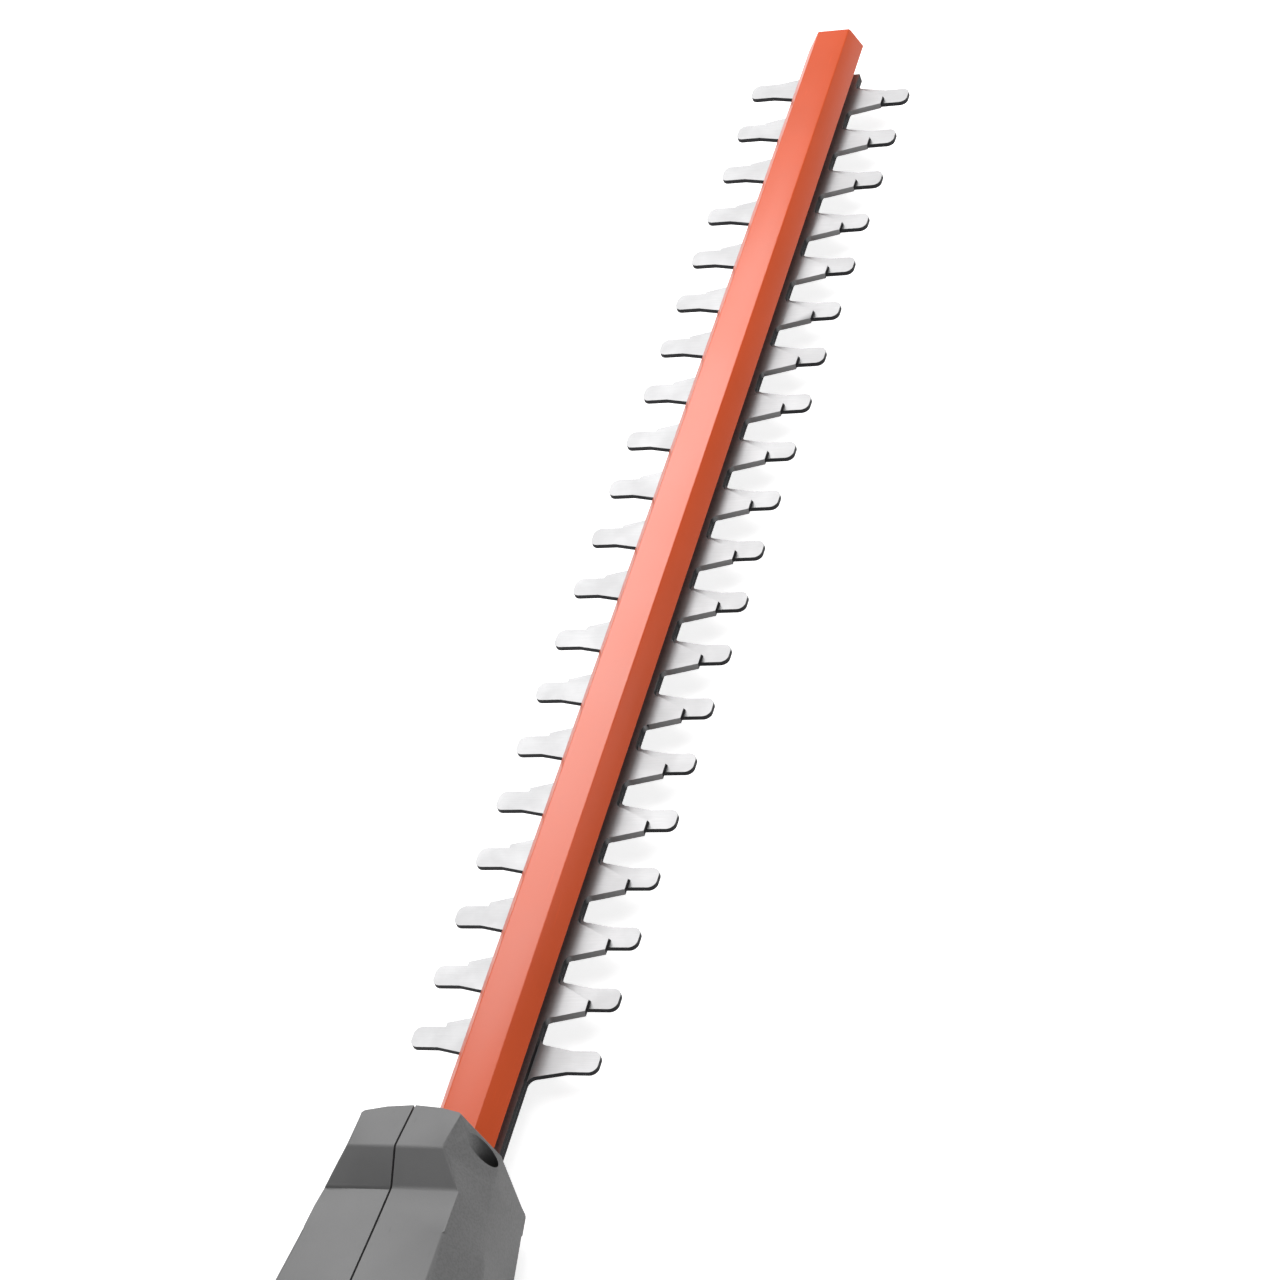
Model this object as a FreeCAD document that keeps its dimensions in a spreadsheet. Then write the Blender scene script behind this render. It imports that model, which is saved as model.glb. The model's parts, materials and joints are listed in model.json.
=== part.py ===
import FreeCAD, Part
import math
import os
import re
import Sketcher

# A cordless hedge trimmer. X is to the right, Y runs along the blades towards their tip, Z is up.
# The origin is under the middle of the whole tool, on the surface that it lies on. Millimetres.
# "nose" is where the blades leave the housing, and distances called back run from it towards the rear.

SIZES = {
    # overall
    "bar_length": 627,  # nose to the tip of the cover
    "body_length": 460,  # nose to the rear of the battery
    "blade_level": 12,  # the plane between the two blades
    # blades
    "pitch": 28,
    "tooth_pairs": 20,
    "tip_to_tooth": 27,
    "blade_thick": 2,
    "blade_gap": 0.1,
    "blade_half": 12.2,
    "blade_end": 11,
    "long_reach": 37.4,
    "long_neck": 26,
    "long_neck_half": 4.6,
    "long_root": 16,
    "long_root_half": 6.7,
    "long_shift": 4.1,
    "short_reach": 26.8,
    "short_tip_rear": 12.2,
    "short_tip_front": 5.3,
    "short_root_rear": 15.2,
    "short_root_front": 1,
    "bevel": 1,
    "tip_round": 3.2,
    # blade bolts
    "bolt_first": 22,
    "bolt_pitch": 74,
    "bolt_count": 8,
    "bolt_shoulder": 3.5,
    "bolt_thread": 2.5,
    "bolt_head": 5.6,
    "bolt_head_tall": 2.6,
    "washer_thick": 0.9,
    "washer_radius": 7,
    "slot_play": 0.4,
    # support bar and cover
    "bar_half": 9,
    "bar_tall": 5.85,
    "cover_half_top": 7.25,
    "cover_half_low": 13,
    "cover_tall": 7.45,
    "cover_wall": 1.4,
    "cover_lip": 6.8,
    "cover_behind": 12,
    "cover_corner": 3.5,
    "slot_nut_half": 7.9,
    "slot_nut_long": 14,
    "slot_nut_tall": 2.4,
    # crank drive
    "crank_back": 85,
    "stroke_half": 8,
    "eccentric_radius": 13.6,
    "eccentric_tall": 3,
    "yoke_play": 2,
    "yoke_rim": 5,
    "shaft_radius": 5,
    "gear_module": 1.25,
    "gear_teeth": 40,
    "pinion_teeth": 9,
    "gear_level": 19,
    "gear_tall": 7,
    "running": 0.05,
    # gear case
    "case_half": 32.5,
    "case_wall": 2.8,
    "case_front": 46,
    "case_rear": 140,
    "case_low": 8,
    "case_roof": 29,
    "case_top": 36,
    "case_plate": 3,
    "ball_outer": 11,
    "ball_tall": 6,
    # motor
    "motor_radius": 19,
    "motor_wall": 1.6,
    "motor_tall": 42,
    "motor_cap": 5,
    "motor_shaft": 2.5,
    "armature_radius": 12.6,
    "magnet_thick": 4,
    "fan_radius": 16,
    # housing
    "wall": 2.6,
    "seam_reveal": 0.4,
    "nose_lean": 8,
    "mouth_half": 14,
    "bow_half": 10,
    "bow_side": 2.3,
    "bow_middle": 3.3,
    "boss_radius": 4.6,
    "screw_radius": 1.9,
    "screw_head": 3.6,
    "screw_seat": 9,
    "nose_screw_x": 24.2,
    "nose_recess": 3.4,
    "nose_plate_thick": 2,
    # rear handle, foot and battery
    "grip_half": 17,
    "grip_round": 5,
    "foot_half": 38,
    "foot_low": 66,
    "foot_top": 86,
    "foot_front": 345,
    "battery_front": 352,
    "battery_half": 38,
    "tongue_half": 22,
    "tongue_tall": 7,
    "rail_thick": 2,
    "slide_gap": 0.4,
    "cell_radius": 9.1,
    "cell_length": 65,
    # front handle and guard
    "handle_back": 176,
    "handle_half": 70,
    "handle_foot_x": 46,
    "handle_foot_z": 36,
    "handle_top": 178,
    "handle_radius": 10.5,
    "bar_radius": 6,
    "guard_back": 140,
    "guard_thick": 3,
    "guard_half": 80,
    "guard_top": 142,
}

# The housing's cross sections: name, then back, underside, half width of the side wall, height of the
# crease above it, half width of the top and height of the top.
STATIONS = [
    ("nose", 0, 9.7, 27.3, 39.3, 18.6, 59.0),
    ("ridge", 9.2, 9.7, 28.5, 39.3, 18.1, 61.4),
    ("dip", 21.4, 9.7, 30.2, 39.3, 24.9, 54.6),
    ("chin", 30, 9.7, 31.4, 39.3, 25.4, 55.5),
    ("gear", 40, 0, 34.5, 39.3, 25.9, 56.6),
    ("ramp", 64, 0, 38.5, 39.3, 27.4, 59.6),
    ("hump", 92, 0, 40, 58, 28, 92),
    ("motor", 148, 0, 40, 58, 28, 94),
    ("waist", 205, 0, 30, 52, 20, 98),
    ("tail", 235, 4, 20, 50, 14, 104),
]
FIELDS = ["back", "low", "half", "crease", "top_half", "top"]
for station in STATIONS:
    for field, size in zip(FIELDS, station[1:]):
        SIZES[f"{station[0]}_{field}"] = size

# Places worked out from the sizes, as expressions.
PLACES = {
    "nose": "(body_length - bar_length) / 2",
    "nose_rise": "(nose_top - nose_low) * sin(nose_lean * 1 deg)",
    "nose_crown": "nose_low + (nose_top - nose_low) * cos(nose_lean * 1 deg)",
    "tooth_one": "nose + bar_length - tip_to_tooth",
    "upper_low": "blade_level + blade_gap / 2",
    "upper_top": "upper_low + blade_thick",
    "lower_top": "blade_level - blade_gap / 2",
    "lower_low": "lower_top - blade_thick",
    "bar_low": "upper_top + blade_gap",
    "bar_top": "bar_low + bar_tall",
    "crank": "nose - crank_back",
    "gear_radius": "gear_module * gear_teeth / 2",
    "pinion_radius": "gear_module * pinion_teeth / 2",
    "motor_y": "crank - gear_radius - pinion_radius",
    "cap_low": "case_top + motor_tall",
    "first_bolt": "tooth_one - bolt_first",
}

doc = FreeCAD.newDocument("hedge_trimmer")
sheet = doc.addObject("Spreadsheet::Sheet", "Sizes")
for row, (alias, size) in enumerate(SIZES.items(), start=1):
    sheet.set(f"A{row}", alias)
    sheet.set(f"B{row}", str(size))
    sheet.setAlias(f"B{row}", alias)
doc.recompute()

Vector = FreeCAD.Vector
Rotation = FreeCAD.Rotation
parts = []


# ---------------------------------------------------------------- helpers
def full(text):
    """Return an expression with every size read from the sheet and every place written out."""

    def swap(match):
        word = match.group(0)
        if word in ("sqrt", "sin", "tan", "cos", "deg"):
            return word
        if word in PLACES:
            return "(" + full(PLACES[word]) + ")"
        return "Sizes." + word

    return re.sub(r"[a-z][a-z_]*", swap, str(text))


def number(text):
    """Return an expression's value."""
    return float(sheet.evalExpression(full(text)))


def bind(item, path, text):
    item.setExpression(path, full(text))


def put(item, x="0", y="0", z="0"):
    """Bind an object's place."""
    for axis, text in zip("xyz", (x, y, z)):
        bind(item, f"Placement.Base.{axis}", text)
    return item


def part(name, item):
    """Make an object a sub-part of the tool."""
    item.Label = name
    parts.append(item)
    return item


def block(name, x, y, z):
    """A box between two values on each axis."""
    item = doc.addObject("Part::Box", name)
    for prop, (low, high) in zip(("Length", "Width", "Height"), (x, y, z)):
        bind(item, prop, f"({high}) - ({low})")
    return put(item, x[0], y[0], z[0])


TURNS = {"X": Rotation(Vector(0, 1, 0), 90), "Y": Rotation(Vector(1, 0, 0), -90), "Z": Rotation()}


def rod(name, radius, length, x="0", y="0", z="0", axis="Z"):
    """A cylinder from a point along +X, +Y or +Z."""
    item = doc.addObject("Part::Cylinder", name)
    bind(item, "Radius", radius)
    bind(item, "Height", length)
    item.Placement = FreeCAD.Placement(Vector(), TURNS[axis])
    return put(item, x, y, z)


def fuse(name, items):
    item = doc.addObject("Part::MultiFuse", name)
    item.Shapes = items
    return item


def cut(name, base, tools):
    item = doc.addObject("Part::Cut", name)
    item.Base = base
    item.Tool = tools[0] if len(tools) == 1 else fuse(name + "_tools", tools)
    return item


def common(name, items):
    item = doc.addObject("Part::MultiCommon", name)
    item.Shapes = items
    return item


def group(name, items):
    """Separate solids kept together, for identical pieces."""
    item = doc.addObject("Part::Compound", name)
    item.Links = items
    return item


def ring(name, outer, inner, length, x="0", y="0", z="0", axis="Z"):
    solid = rod(name + "_outside", outer, length, x, y, z, axis)
    hole = rod(name + "_bore", inner, length, x, y, z, axis)
    return cut(name, solid, [hole])


def outline(sketch, points):
    """Draw a closed polygon whose corners are bound to expressions."""
    places = [Vector(number(x), number(y), 0) for x, y in points]
    count = len(places)
    for i in range(count):
        sketch.addGeometry(Part.LineSegment(places[i], places[(i + 1) % count]), False)
    for i in range(count):
        sketch.addConstraint(Sketcher.Constraint("Coincident", i, 2, (i + 1) % count, 1))
    for i, (x, y) in enumerate(points):
        for kind, text, value in (("DistanceX", x, places[i].x), ("DistanceY", y, places[i].y)):
            index = sketch.addConstraint(Sketcher.Constraint(kind, -1, 1, i, 1, value))
            bind(sketch, f"Constraints[{index}]", text)
    return sketch


def free_sketch(name, points, turn):
    """A sketch of its own for a loft or an extrusion."""
    sketch = doc.addObject("Sketcher::SketchObject", name)
    sketch.Placement = FreeCAD.Placement(Vector(), turn)
    return outline(sketch, points)


UPRIGHT = Rotation(Vector(1, 0, 0), 90)  # drawn in X and Z
SIDEWAYS = Rotation(Vector(1, 1, 1), 120)  # drawn in Y and Z


def side_prism(name, points, half):
    """A profile in Y and Z, as wide on the left as on the right."""
    item = doc.addObject("Part::Extrusion", name)
    item.Base = free_sketch(name + "_profile", points, SIDEWAYS)
    item.DirMode = "Custom"
    item.Dir = Vector(1, 0, 0)
    item.Solid = True
    item.Symmetric = True
    bind(item, "LengthFwd", f"2 * ({half})")
    return item


def make_body(name, x="0", y="0", z="0"):
    return put(doc.addObject("PartDesign::Body", name), x, y, z)


def origin_feature(body, role):
    return [feature for feature in body.Origin.OriginFeatures if feature.Role == role][0]


def body_sketch(body, name, role, points, level="0"):
    sketch = body.newObject("Sketcher::SketchObject", name)
    sketch.AttachmentSupport = [(origin_feature(body, role), "")]
    sketch.MapMode = "FlatFace"
    bind(sketch, "AttachmentOffset.Base.z", level)
    return outline(sketch, points)


def pad(body, name, sketch, length, reverse=False):
    item = body.newObject("PartDesign::Pad", name)
    item.Refine = False
    item.Profile = sketch
    item.Reversed = reverse
    bind(item, "Length", length)
    body.Tip = item
    return item


def pocket_through(body, name, sketch):
    item = body.newObject("PartDesign::Pocket", name)
    item.Refine = False
    item.Profile = sketch
    item.Type = "ThroughAll"
    item.Midplane = True
    body.Tip = item
    return item


def repeat(body, name, features, role, count, spacing, reverse=False):
    item = body.newObject("PartDesign::LinearPattern", name)
    item.Refine = False
    item.Originals = features
    item.Direction = (origin_feature(body, role), [""])
    item.Reversed = reverse
    bind(item, "Occurrences", count)
    bind(item, "Length", f"({spacing}) * (({count}) - 1)")
    body.Tip = item
    return item


def round_edges(body, name, radius, chosen):
    """Fillet the edges of a body for which the test holds."""
    doc.recompute()
    base = body.Tip
    edges = [f"Edge{i}" for i, edge in enumerate(base.Shape.Edges, start=1) if chosen(edge)]
    item = body.newObject("PartDesign::Fillet", name)
    item.Base = (base, edges)
    bind(item, "Radius", radius)
    body.Tip = item
    return item


def is_upright(edge):
    ends = [vertex.Point for vertex in edge.Vertexes]
    return len(ends) == 2 and abs(ends[0].x - ends[1].x) + abs(ends[0].y - ends[1].y) < 1e-6


# ---------------------------------------------------------------- blades
def make_blade(name, side, low, short_first, bevel_up):
    """A toothed blade: long rounded teeth on one side, short bevelled cutters on the other.

    side is 1 where the long teeth are on the right. The other blade is the same one turned half way
    round about each tooth pair's upright axis.
    """
    body = make_body(name, "0", "tooth_one", low)
    turn = f"{side} * "
    yoke = "crank - tooth_one"
    bar = [
        ("-blade_half", "blade_end"),
        ("-blade_half", yoke),
        ("blade_half", yoke),
        ("blade_half", "blade_end"),
    ]
    pad(body, name + "_bar", body_sketch(body, name + "_bar_sketch", "XY_Plane", bar), "blade_thick")

    middle = f"{turn}(-long_shift)"
    flank = [
        ("blade_half - 1", "long_root_half + 0.8"),
        ("long_root", "long_root_half"),
        ("long_neck", "long_neck_half"),
        ("long_reach", "long_neck_half"),
    ]
    tooth = [(turn + f"({x})", f"{middle} + {turn}({y})") for x, y in flank]
    tooth += [(turn + f"({x})", f"{middle} - {turn}({y})") for x, y in reversed(flank)]
    sketch = body_sketch(body, name + "_long_sketch", "XY_Plane", tooth)
    long_tooth = pad(body, name + "_long", sketch, "blade_thick")
    repeat(body, name + "_long_teeth", [long_tooth], "Y_Axis", "tooth_pairs", "pitch", True)

    reach = number("long_reach") - 0.1
    round_edges(body, name + "_tips", "tip_round", lambda e: is_upright(e) and abs(e.Vertexes[0].X) > reach)

    levels = [("0", 1), ("blade_thick", -1)] if bevel_up else [("blade_thick", 1), ("0", -1)]
    sketches = []
    for level, grow in levels:
        spread = f"{grow} * bevel / 2"
        points = [
            (f"-{side} * (blade_half - 2)", f"{side} * (-short_root_rear - {spread} + bevel / 2)"),
            (f"-{side} * (blade_half + 3)", f"{side} * (-short_root_rear - {spread} + bevel / 2)"),
            (f"-{side} * short_reach", f"{side} * (-short_tip_rear - {spread} + bevel / 2)"),
            (f"-{side} * short_reach", f"{side} * (-short_tip_front + {spread} - bevel / 2)"),
            (f"-{side} * (blade_half + 3)", f"{side} * (short_root_front + {spread} - bevel / 2)"),
            (f"-{side} * (blade_half - 2)", f"{side} * (short_root_front + {spread} - bevel / 2)"),
        ]
        points = [(x, f"-({y}) - {short_first} * pitch") for x, y in points]
        label = f"{name}_cutter_{'edge' if grow > 0 else 'back'}"
        sketches.append(body_sketch(body, label, "XY_Plane", points, level))
    doc.recompute()
    cutter = body.newObject("PartDesign::AdditiveLoft", name + "_cutter")
    cutter.Refine = False
    cutter.Profile = sketches[0]
    cutter.Sections = [sketches[1]]
    cutter.Ruled = True
    body.Tip = cutter
    repeat(body, name + "_cutters", [cutter], "Y_Axis", "tooth_pairs - 1", "pitch", True)

    reach_y = f"({yoke})"
    half = "(eccentric_radius + stroke_half + 0.5)"
    length = "(eccentric_radius + yoke_play)"
    frame = [
        (f"-({half} + yoke_rim)", f"{reach_y} - {length} - yoke_rim"),
        (f"{half} + yoke_rim", f"{reach_y} - {length} - yoke_rim"),
        (f"{half} + yoke_rim", f"{reach_y} + {length} + yoke_rim"),
        (f"-({half} + yoke_rim)", f"{reach_y} + {length} + yoke_rim"),
    ]
    pad(body, name + "_yoke", body_sketch(body, name + "_yoke_sketch", "XY_Plane", frame), "blade_thick")
    window = [
        (f"-{half}", f"{reach_y} - {length}"),
        (half, f"{reach_y} - {length}"),
        (half, f"{reach_y} + {length}"),
        (f"-{half}", f"{reach_y} + {length}"),
    ]
    doc.recompute()
    pocket_through(body, name + "_window", body_sketch(body, name + "_window_sketch", "XY_Plane", window))

    doc.recompute()
    wide = "(bolt_shoulder + slot_play / 2)"
    long = "(stroke_half + bolt_shoulder + slot_play)"
    slot = [
        (f"-{wide}", f"-bolt_first - {long}"),
        (wide, f"-bolt_first - {long}"),
        (wide, f"-bolt_first + {long}"),
        (f"-{wide}", f"-bolt_first + {long}"),
    ]
    slot_sketch = body_sketch(body, name + "_slot_sketch", "XY_Plane", slot)
    opening = pocket_through(body, name + "_slot", slot_sketch)
    repeat(body, name + "_slots", [opening], "Y_Axis", "bolt_count", "bolt_pitch", True)

    slot_half = number(wide)

    def in_slot(edge):
        return is_upright(edge) and abs(abs(edge.Vertexes[0].X) - slot_half) < 0.01

    round_edges(body, name + "_slot_ends", "bolt_shoulder * 0.9", in_slot)
    return part(name, body)


make_blade("lower_blade", 1, "lower_low", 1, False)
make_blade("upper_blade", -1, "upper_low", 0, True)


# ---------------------------------------------------------------- support bar, cover and blade bolts
BOLTS = [f"first_bolt - {i} * bolt_pitch" for i in range(int(number("bolt_count")))]
CLAMP_BACKS = ["26", "38"]
CLAMPS = [f"nose - {back}" for back in CLAMP_BACKS]
BAR_REAR = "nose - case_front + 2"


def bolt_holes(name, radius, low, high, places, x="0"):
    """Drills along Z at each of the places on the Y axis."""
    return [rod(f"{name}_{i}", radius, f"({high}) - ({low})", x, y, low) for i, y in enumerate(places)]


def make_support_bar():
    bar_y = (BAR_REAR, "tooth_one + 14")
    solid = block("bar_solid", ("-bar_half", "bar_half"), bar_y, ("bar_low", "bar_top"))
    holes = bolt_holes("bar_hole", "bolt_thread + running", "bar_low - 1", "bar_top + 1", BOLTS + CLAMPS)
    return part("support_bar", cut("support_bar", solid, holes))


COVER_SLOPE = "((cover_half_low - cover_half_top) / cover_tall)"
COVER_SIDE = f"(cover_wall * sqrt(1 + {COVER_SLOPE} * {COVER_SLOPE}))"
COVER_IN_LOW = f"cover_half_low - cover_wall * {COVER_SLOPE} - {COVER_SIDE}"
COVER_IN_TOP = f"cover_half_top + cover_wall * {COVER_SLOPE} - {COVER_SIDE}"


def mirrored(points):
    """Close a half profile, drawn for positive X, with its mirror image."""
    return points + [(f"-({x})", y) for x, y in reversed(points)]


def make_cover():
    body = make_body("blade_cover", "0", "nose - cover_behind", "bar_top")
    outside = [
        ("cover_half_low", "0"),
        ("cover_half_top", "cover_tall"),
    ]
    sketch = body_sketch(body, "cover_outside", "XZ_Plane", mirrored(outside))
    pad(body, "cover_solid", sketch, "bar_length + cover_behind", True)
    inside = [
        ("cover_lip", "-1"),
        ("cover_lip", "cover_wall"),
        (COVER_IN_LOW, "cover_wall"),
        (COVER_IN_TOP, "cover_tall - cover_wall"),
    ]
    doc.recompute()
    pocket_through(body, "cover_channel", body_sketch(body, "cover_inside", "XZ_Plane", mirrored(inside)))
    front = "bar_length + cover_behind"
    for side, sign in (("left", "-"), ("right", "")):
        corner = [
            (f"{sign}(cover_half_top + 0.4)", f"{front} + 0.2"),
            (f"{sign}(cover_half_low + 1)", f"{front} + 0.2"),
            (f"{sign}(cover_half_low + 1)", f"{front} - cover_corner - 1"),
        ]
        doc.recompute()
        clip = body_sketch(body, f"cover_{side}_corner", "XY_Plane", corner)
        pocket_through(body, f"cover_{side}_clip", clip)
    return part("blade_cover", body)


def make_tip_plug():
    front = "nose + bar_length - cover_corner - 1.5"
    body = make_body("cover_tip_plug", "0", f"{front} - 7", "bar_top")
    points = [
        (f"{COVER_IN_LOW} - 0.1", "cover_wall + running"),
        (f"{COVER_IN_TOP} - 0.1", "cover_tall - cover_wall - running"),
    ]
    sketch = body_sketch(body, "plug_sketch", "XZ_Plane", mirrored(points))
    pad(body, "plug_solid", sketch, "7", True)
    return part("cover_tip_plug", body)


def make_blade_bolts():
    nut_low = "bar_top + cover_wall"
    nuts = []
    bolts = []
    washers = []
    washer_low = "lower_low - blade_gap - washer_thick"
    for i, y in enumerate(BOLTS):
        nut = block(
            f"slot_nut_{i}",
            ("-slot_nut_half", "slot_nut_half"),
            (f"{y} - slot_nut_long / 2", f"{y} + slot_nut_long / 2"),
            (nut_low, f"{nut_low} + slot_nut_tall"),
        )
        nuts.append(cut(f"slot_nut_drilled_{i}", nut, bolt_holes(
            f"slot_nut_hole_{i}", "bolt_thread", "bar_top", f"{nut_low} + 9", [y])))
        head = doc.addObject("Part::Prism", f"bolt_head_{i}")
        head.Polygon = 6
        bind(head, "Circumradius", "bolt_head")
        bind(head, "Height", "bolt_head_tall")
        put(head, "0", y, f"{washer_low} - bolt_head_tall")
        shoulder_tall = f"bar_low - ({washer_low})"
        shoulder = rod(f"bolt_shoulder_{i}", "bolt_shoulder", shoulder_tall, "0", y, washer_low)
        thread_tall = f"{nut_low} + slot_nut_tall - bar_low"
        thread = rod(f"bolt_thread_{i}", "bolt_thread", thread_tall, "0", y, "bar_low")
        bolts.append(fuse(f"bolt_{i}", [head, shoulder, thread]))
        washers.append(ring(
            f"washer_{i}", "washer_radius", "bolt_shoulder + running", "washer_thick", "0", y, washer_low))
    part("cover_slot_nuts", group("cover_slot_nuts", nuts))
    part("blade_bolts", group("blade_bolts", bolts))
    part("blade_washers", group("blade_washers", washers))


make_support_bar()
make_cover()
make_tip_plug()
make_blade_bolts()


# ---------------------------------------------------------------- gear case and crank
CASE_X = ("-case_half", "case_half")
CASE_Y = ("nose - case_rear", "nose - case_front")
POST_BACKS = ("case_front + 6", "case_rear - 6")
POSTS = [(x, back) for x in ("-case_half + 5", "case_half - 5") for back in POST_BACKS]
MOTOR_SCREW_X = "12"


def make_gear_case():
    inner_x = ("-case_half + case_wall", "case_half - case_wall")
    inner_y = ("nose - case_rear + case_wall", "nose - case_front - case_wall")
    outside = block("case_outside", CASE_X, CASE_Y, ("case_low", "case_top"))
    cavity = block("case_cavity", inner_x, inner_y, ("case_low - 1", "case_roof"))
    mouth = block(
        "case_mouth",
        ("-blade_half - 1.5", "blade_half + 1.5"),
        ("nose - case_front - case_wall - 1", "nose - case_front + 1"),
        ("case_low - 1", "upper_top + 1.5"),
    )
    bore = rod("case_bore", "ball_outer", "20", "0", "crank", "case_roof - 1")
    pinion_hole = rod("case_pinion_hole", "pinion_radius + 3", "20", "0", "motor_y", "case_roof - 1")
    tube = cut("case_tube", outside, [cavity, mouth, bore, pinion_hole])
    tongue = block(
        "case_tongue",
        ("-bar_half - 2", "bar_half + 2"),
        ("nose - case_front - 1", "nose - 19"),
        ("bar_top", "bar_top + 6"),
    )
    posts = []
    post_holes = []
    for i, (x, back) in enumerate(POSTS):
        y = f"nose - ({back})"
        posts.append(rod(f"case_post_{i}", "4", "case_roof - case_low + 1", x, y, "case_low"))
        post_holes.append(rod(f"case_post_hole_{i}", "screw_radius", "12", x, y, "case_low - 1"))
    solid = fuse("case_solid", [tube, tongue] + posts)
    clamp_radius = "bolt_thread + running"
    clamp_holes = bolt_holes("case_clamp_hole", clamp_radius, "bar_top - 1", "bar_top + 9", CLAMPS)
    motor_holes = [
        rod(f"case_motor_hole_{i}", "screw_radius + running", "20", x, "motor_y", "case_roof - 1")
        for i, x in enumerate((MOTOR_SCREW_X, f"-{MOTOR_SCREW_X}"))
    ]
    part("gear_case", cut("gear_case", solid, clamp_holes + post_holes + motor_holes))


def screw(name, shank, head, length, head_tall, x, y, z):
    """A screw pointing up: its head's underside is at z."""
    shaft = rod(name + "_shank", shank, length, x, y, z)
    top = rod(name + "_head", head, head_tall, x, y, f"{z} - {head_tall}")
    return fuse(name, [shaft, top])


def make_case_plate():
    low = "case_low - case_plate"
    plate = block("plate_solid", CASE_X, CASE_Y, (low, "case_low"))
    holes = [rod("plate_bore", "shaft_radius + 3", "20", "0", "crank", f"{low} - 5")]
    screws = []
    for i, (x, back) in enumerate(POSTS):
        y = f"nose - ({back})"
        holes.append(rod(f"plate_hole_{i}", "screw_radius + running", "20", x, y, f"{low} - 5"))
        screws.append(screw(f"case_screw_{i}", "screw_radius", "screw_head", "11", "1.8", x, y, low))
    part("gear_case_plate", cut("gear_case_plate", plate, holes))
    part("gear_case_screws", group("gear_case_screws", screws))


def make_clamp_screws():
    screws = []
    for i, y in enumerate(CLAMPS):
        shank = rod(f"clamp_shank_{i}", "bolt_thread", "bar_tall + 6", "0", y, "bar_low")
        head = rod(f"clamp_head_{i}", "4.5", "3", "0", y, "bar_top + 6")
        screws.append(fuse(f"clamp_screw_{i}", [shank, head]))
    part("bar_clamp_screws", group("bar_clamp_screws", screws))


def make_crank():
    part("crank_shaft", rod("crank_shaft", "shaft_radius", "case_top - 5.5", "0", "crank", "5"))
    for name, side, low in (
        ("upper_eccentric", "", "upper_low"),
        ("lower_eccentric", "-", "lower_top - eccentric_tall"),
    ):
        disc = rod(name + "_disc", "eccentric_radius", "eccentric_tall", f"{side}stroke_half", "crank", low)
        bore = rod(name + "_bore", "shaft_radius", "eccentric_tall", "0", "crank", low)
        part(name, cut(name, disc, [bore]))
    part("lower_bush", ring(
        "lower_bush", "shaft_radius + 3", "shaft_radius + running", "case_plate + 0.5", "0", "crank", "4.5"))
    part("crank_bearing", ring(
        "crank_bearing", "ball_outer", "shaft_radius + running", "ball_tall", "0", "crank",
        "case_roof + 0.5"))


def gear_profile(teeth, first_angle, addendum):
    """A spur gear's outline: involute flanks with a little backlash."""
    module = number("gear_module")
    pressure = math.radians(25)
    pitch_radius = module * teeth / 2
    base = pitch_radius * math.cos(pressure)
    root = pitch_radius - 1.1 * module
    tip = pitch_radius + addendum * module
    backlash = 0.12

    def half_angle(radius):
        """Half of the tooth's width at a radius, as an angle."""
        lean = math.acos(base / radius) if radius > base else 0
        involute = math.tan(lean) - lean
        start = math.pi / (2 * teeth) - backlash / (2 * pitch_radius)
        return start + math.tan(pressure) - pressure - involute

    low = max(root, base)
    heights = [low + (tip - low) * step / 3 for step in range(4)]
    if root < base:
        heights.insert(0, root)
    points = []
    for tooth in range(teeth):
        middle = first_angle + 2 * math.pi * tooth / teeth
        flank = [(radius, middle - half_angle(radius)) for radius in heights]
        flank += [(radius, middle + half_angle(radius)) for radius in reversed(heights)]
        points += [Vector(r * math.cos(angle), r * math.sin(angle), 0) for r, angle in flank]
    return Part.Face(Part.makePolygon(points + points[:1]))


def make_gear(name, teeth, first_angle, addendum, bore, tall, y, z, hub=None):
    """A toothed wheel with a bore, and a hub under it where one is given as (radius, height)."""
    wheel = gear_profile(teeth, first_angle, addendum).extrude(Vector(0, 0, tall))
    if hub:
        wheel = wheel.fuse(Part.makeCylinder(hub[0], hub[1], Vector(0, 0, -hub[1])))
    drill = Part.makeCylinder(bore, 3 * tall, Vector(0, 0, -tall))
    item = doc.addObject("Part::Feature", name)
    item.Shape = wheel.cut(drill)
    return part(name, put(item, "0", y, z))


def make_gears():
    gear_teeth = int(number("gear_teeth"))
    pinion_teeth = int(number("pinion_teeth"))
    hub = (number("shaft_radius") + 3, number("gear_level - upper_low - eccentric_tall"))
    make_gear("crank_gear", gear_teeth, -math.pi / 2, 0.8, number("shaft_radius"),
              number("gear_tall"), "crank", "gear_level", hub)
    # the pinion has a gap where the gear has a tooth
    gap = math.pi / 2 + math.pi / pinion_teeth
    make_gear("motor_pinion", pinion_teeth, gap, 0.8, number("motor_shaft"),
              number("gear_tall + 1"), "motor_y", "gear_level - 0.5")


make_gear_case()
make_case_plate()
make_clamp_screws()
make_crank()
make_gears()


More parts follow.
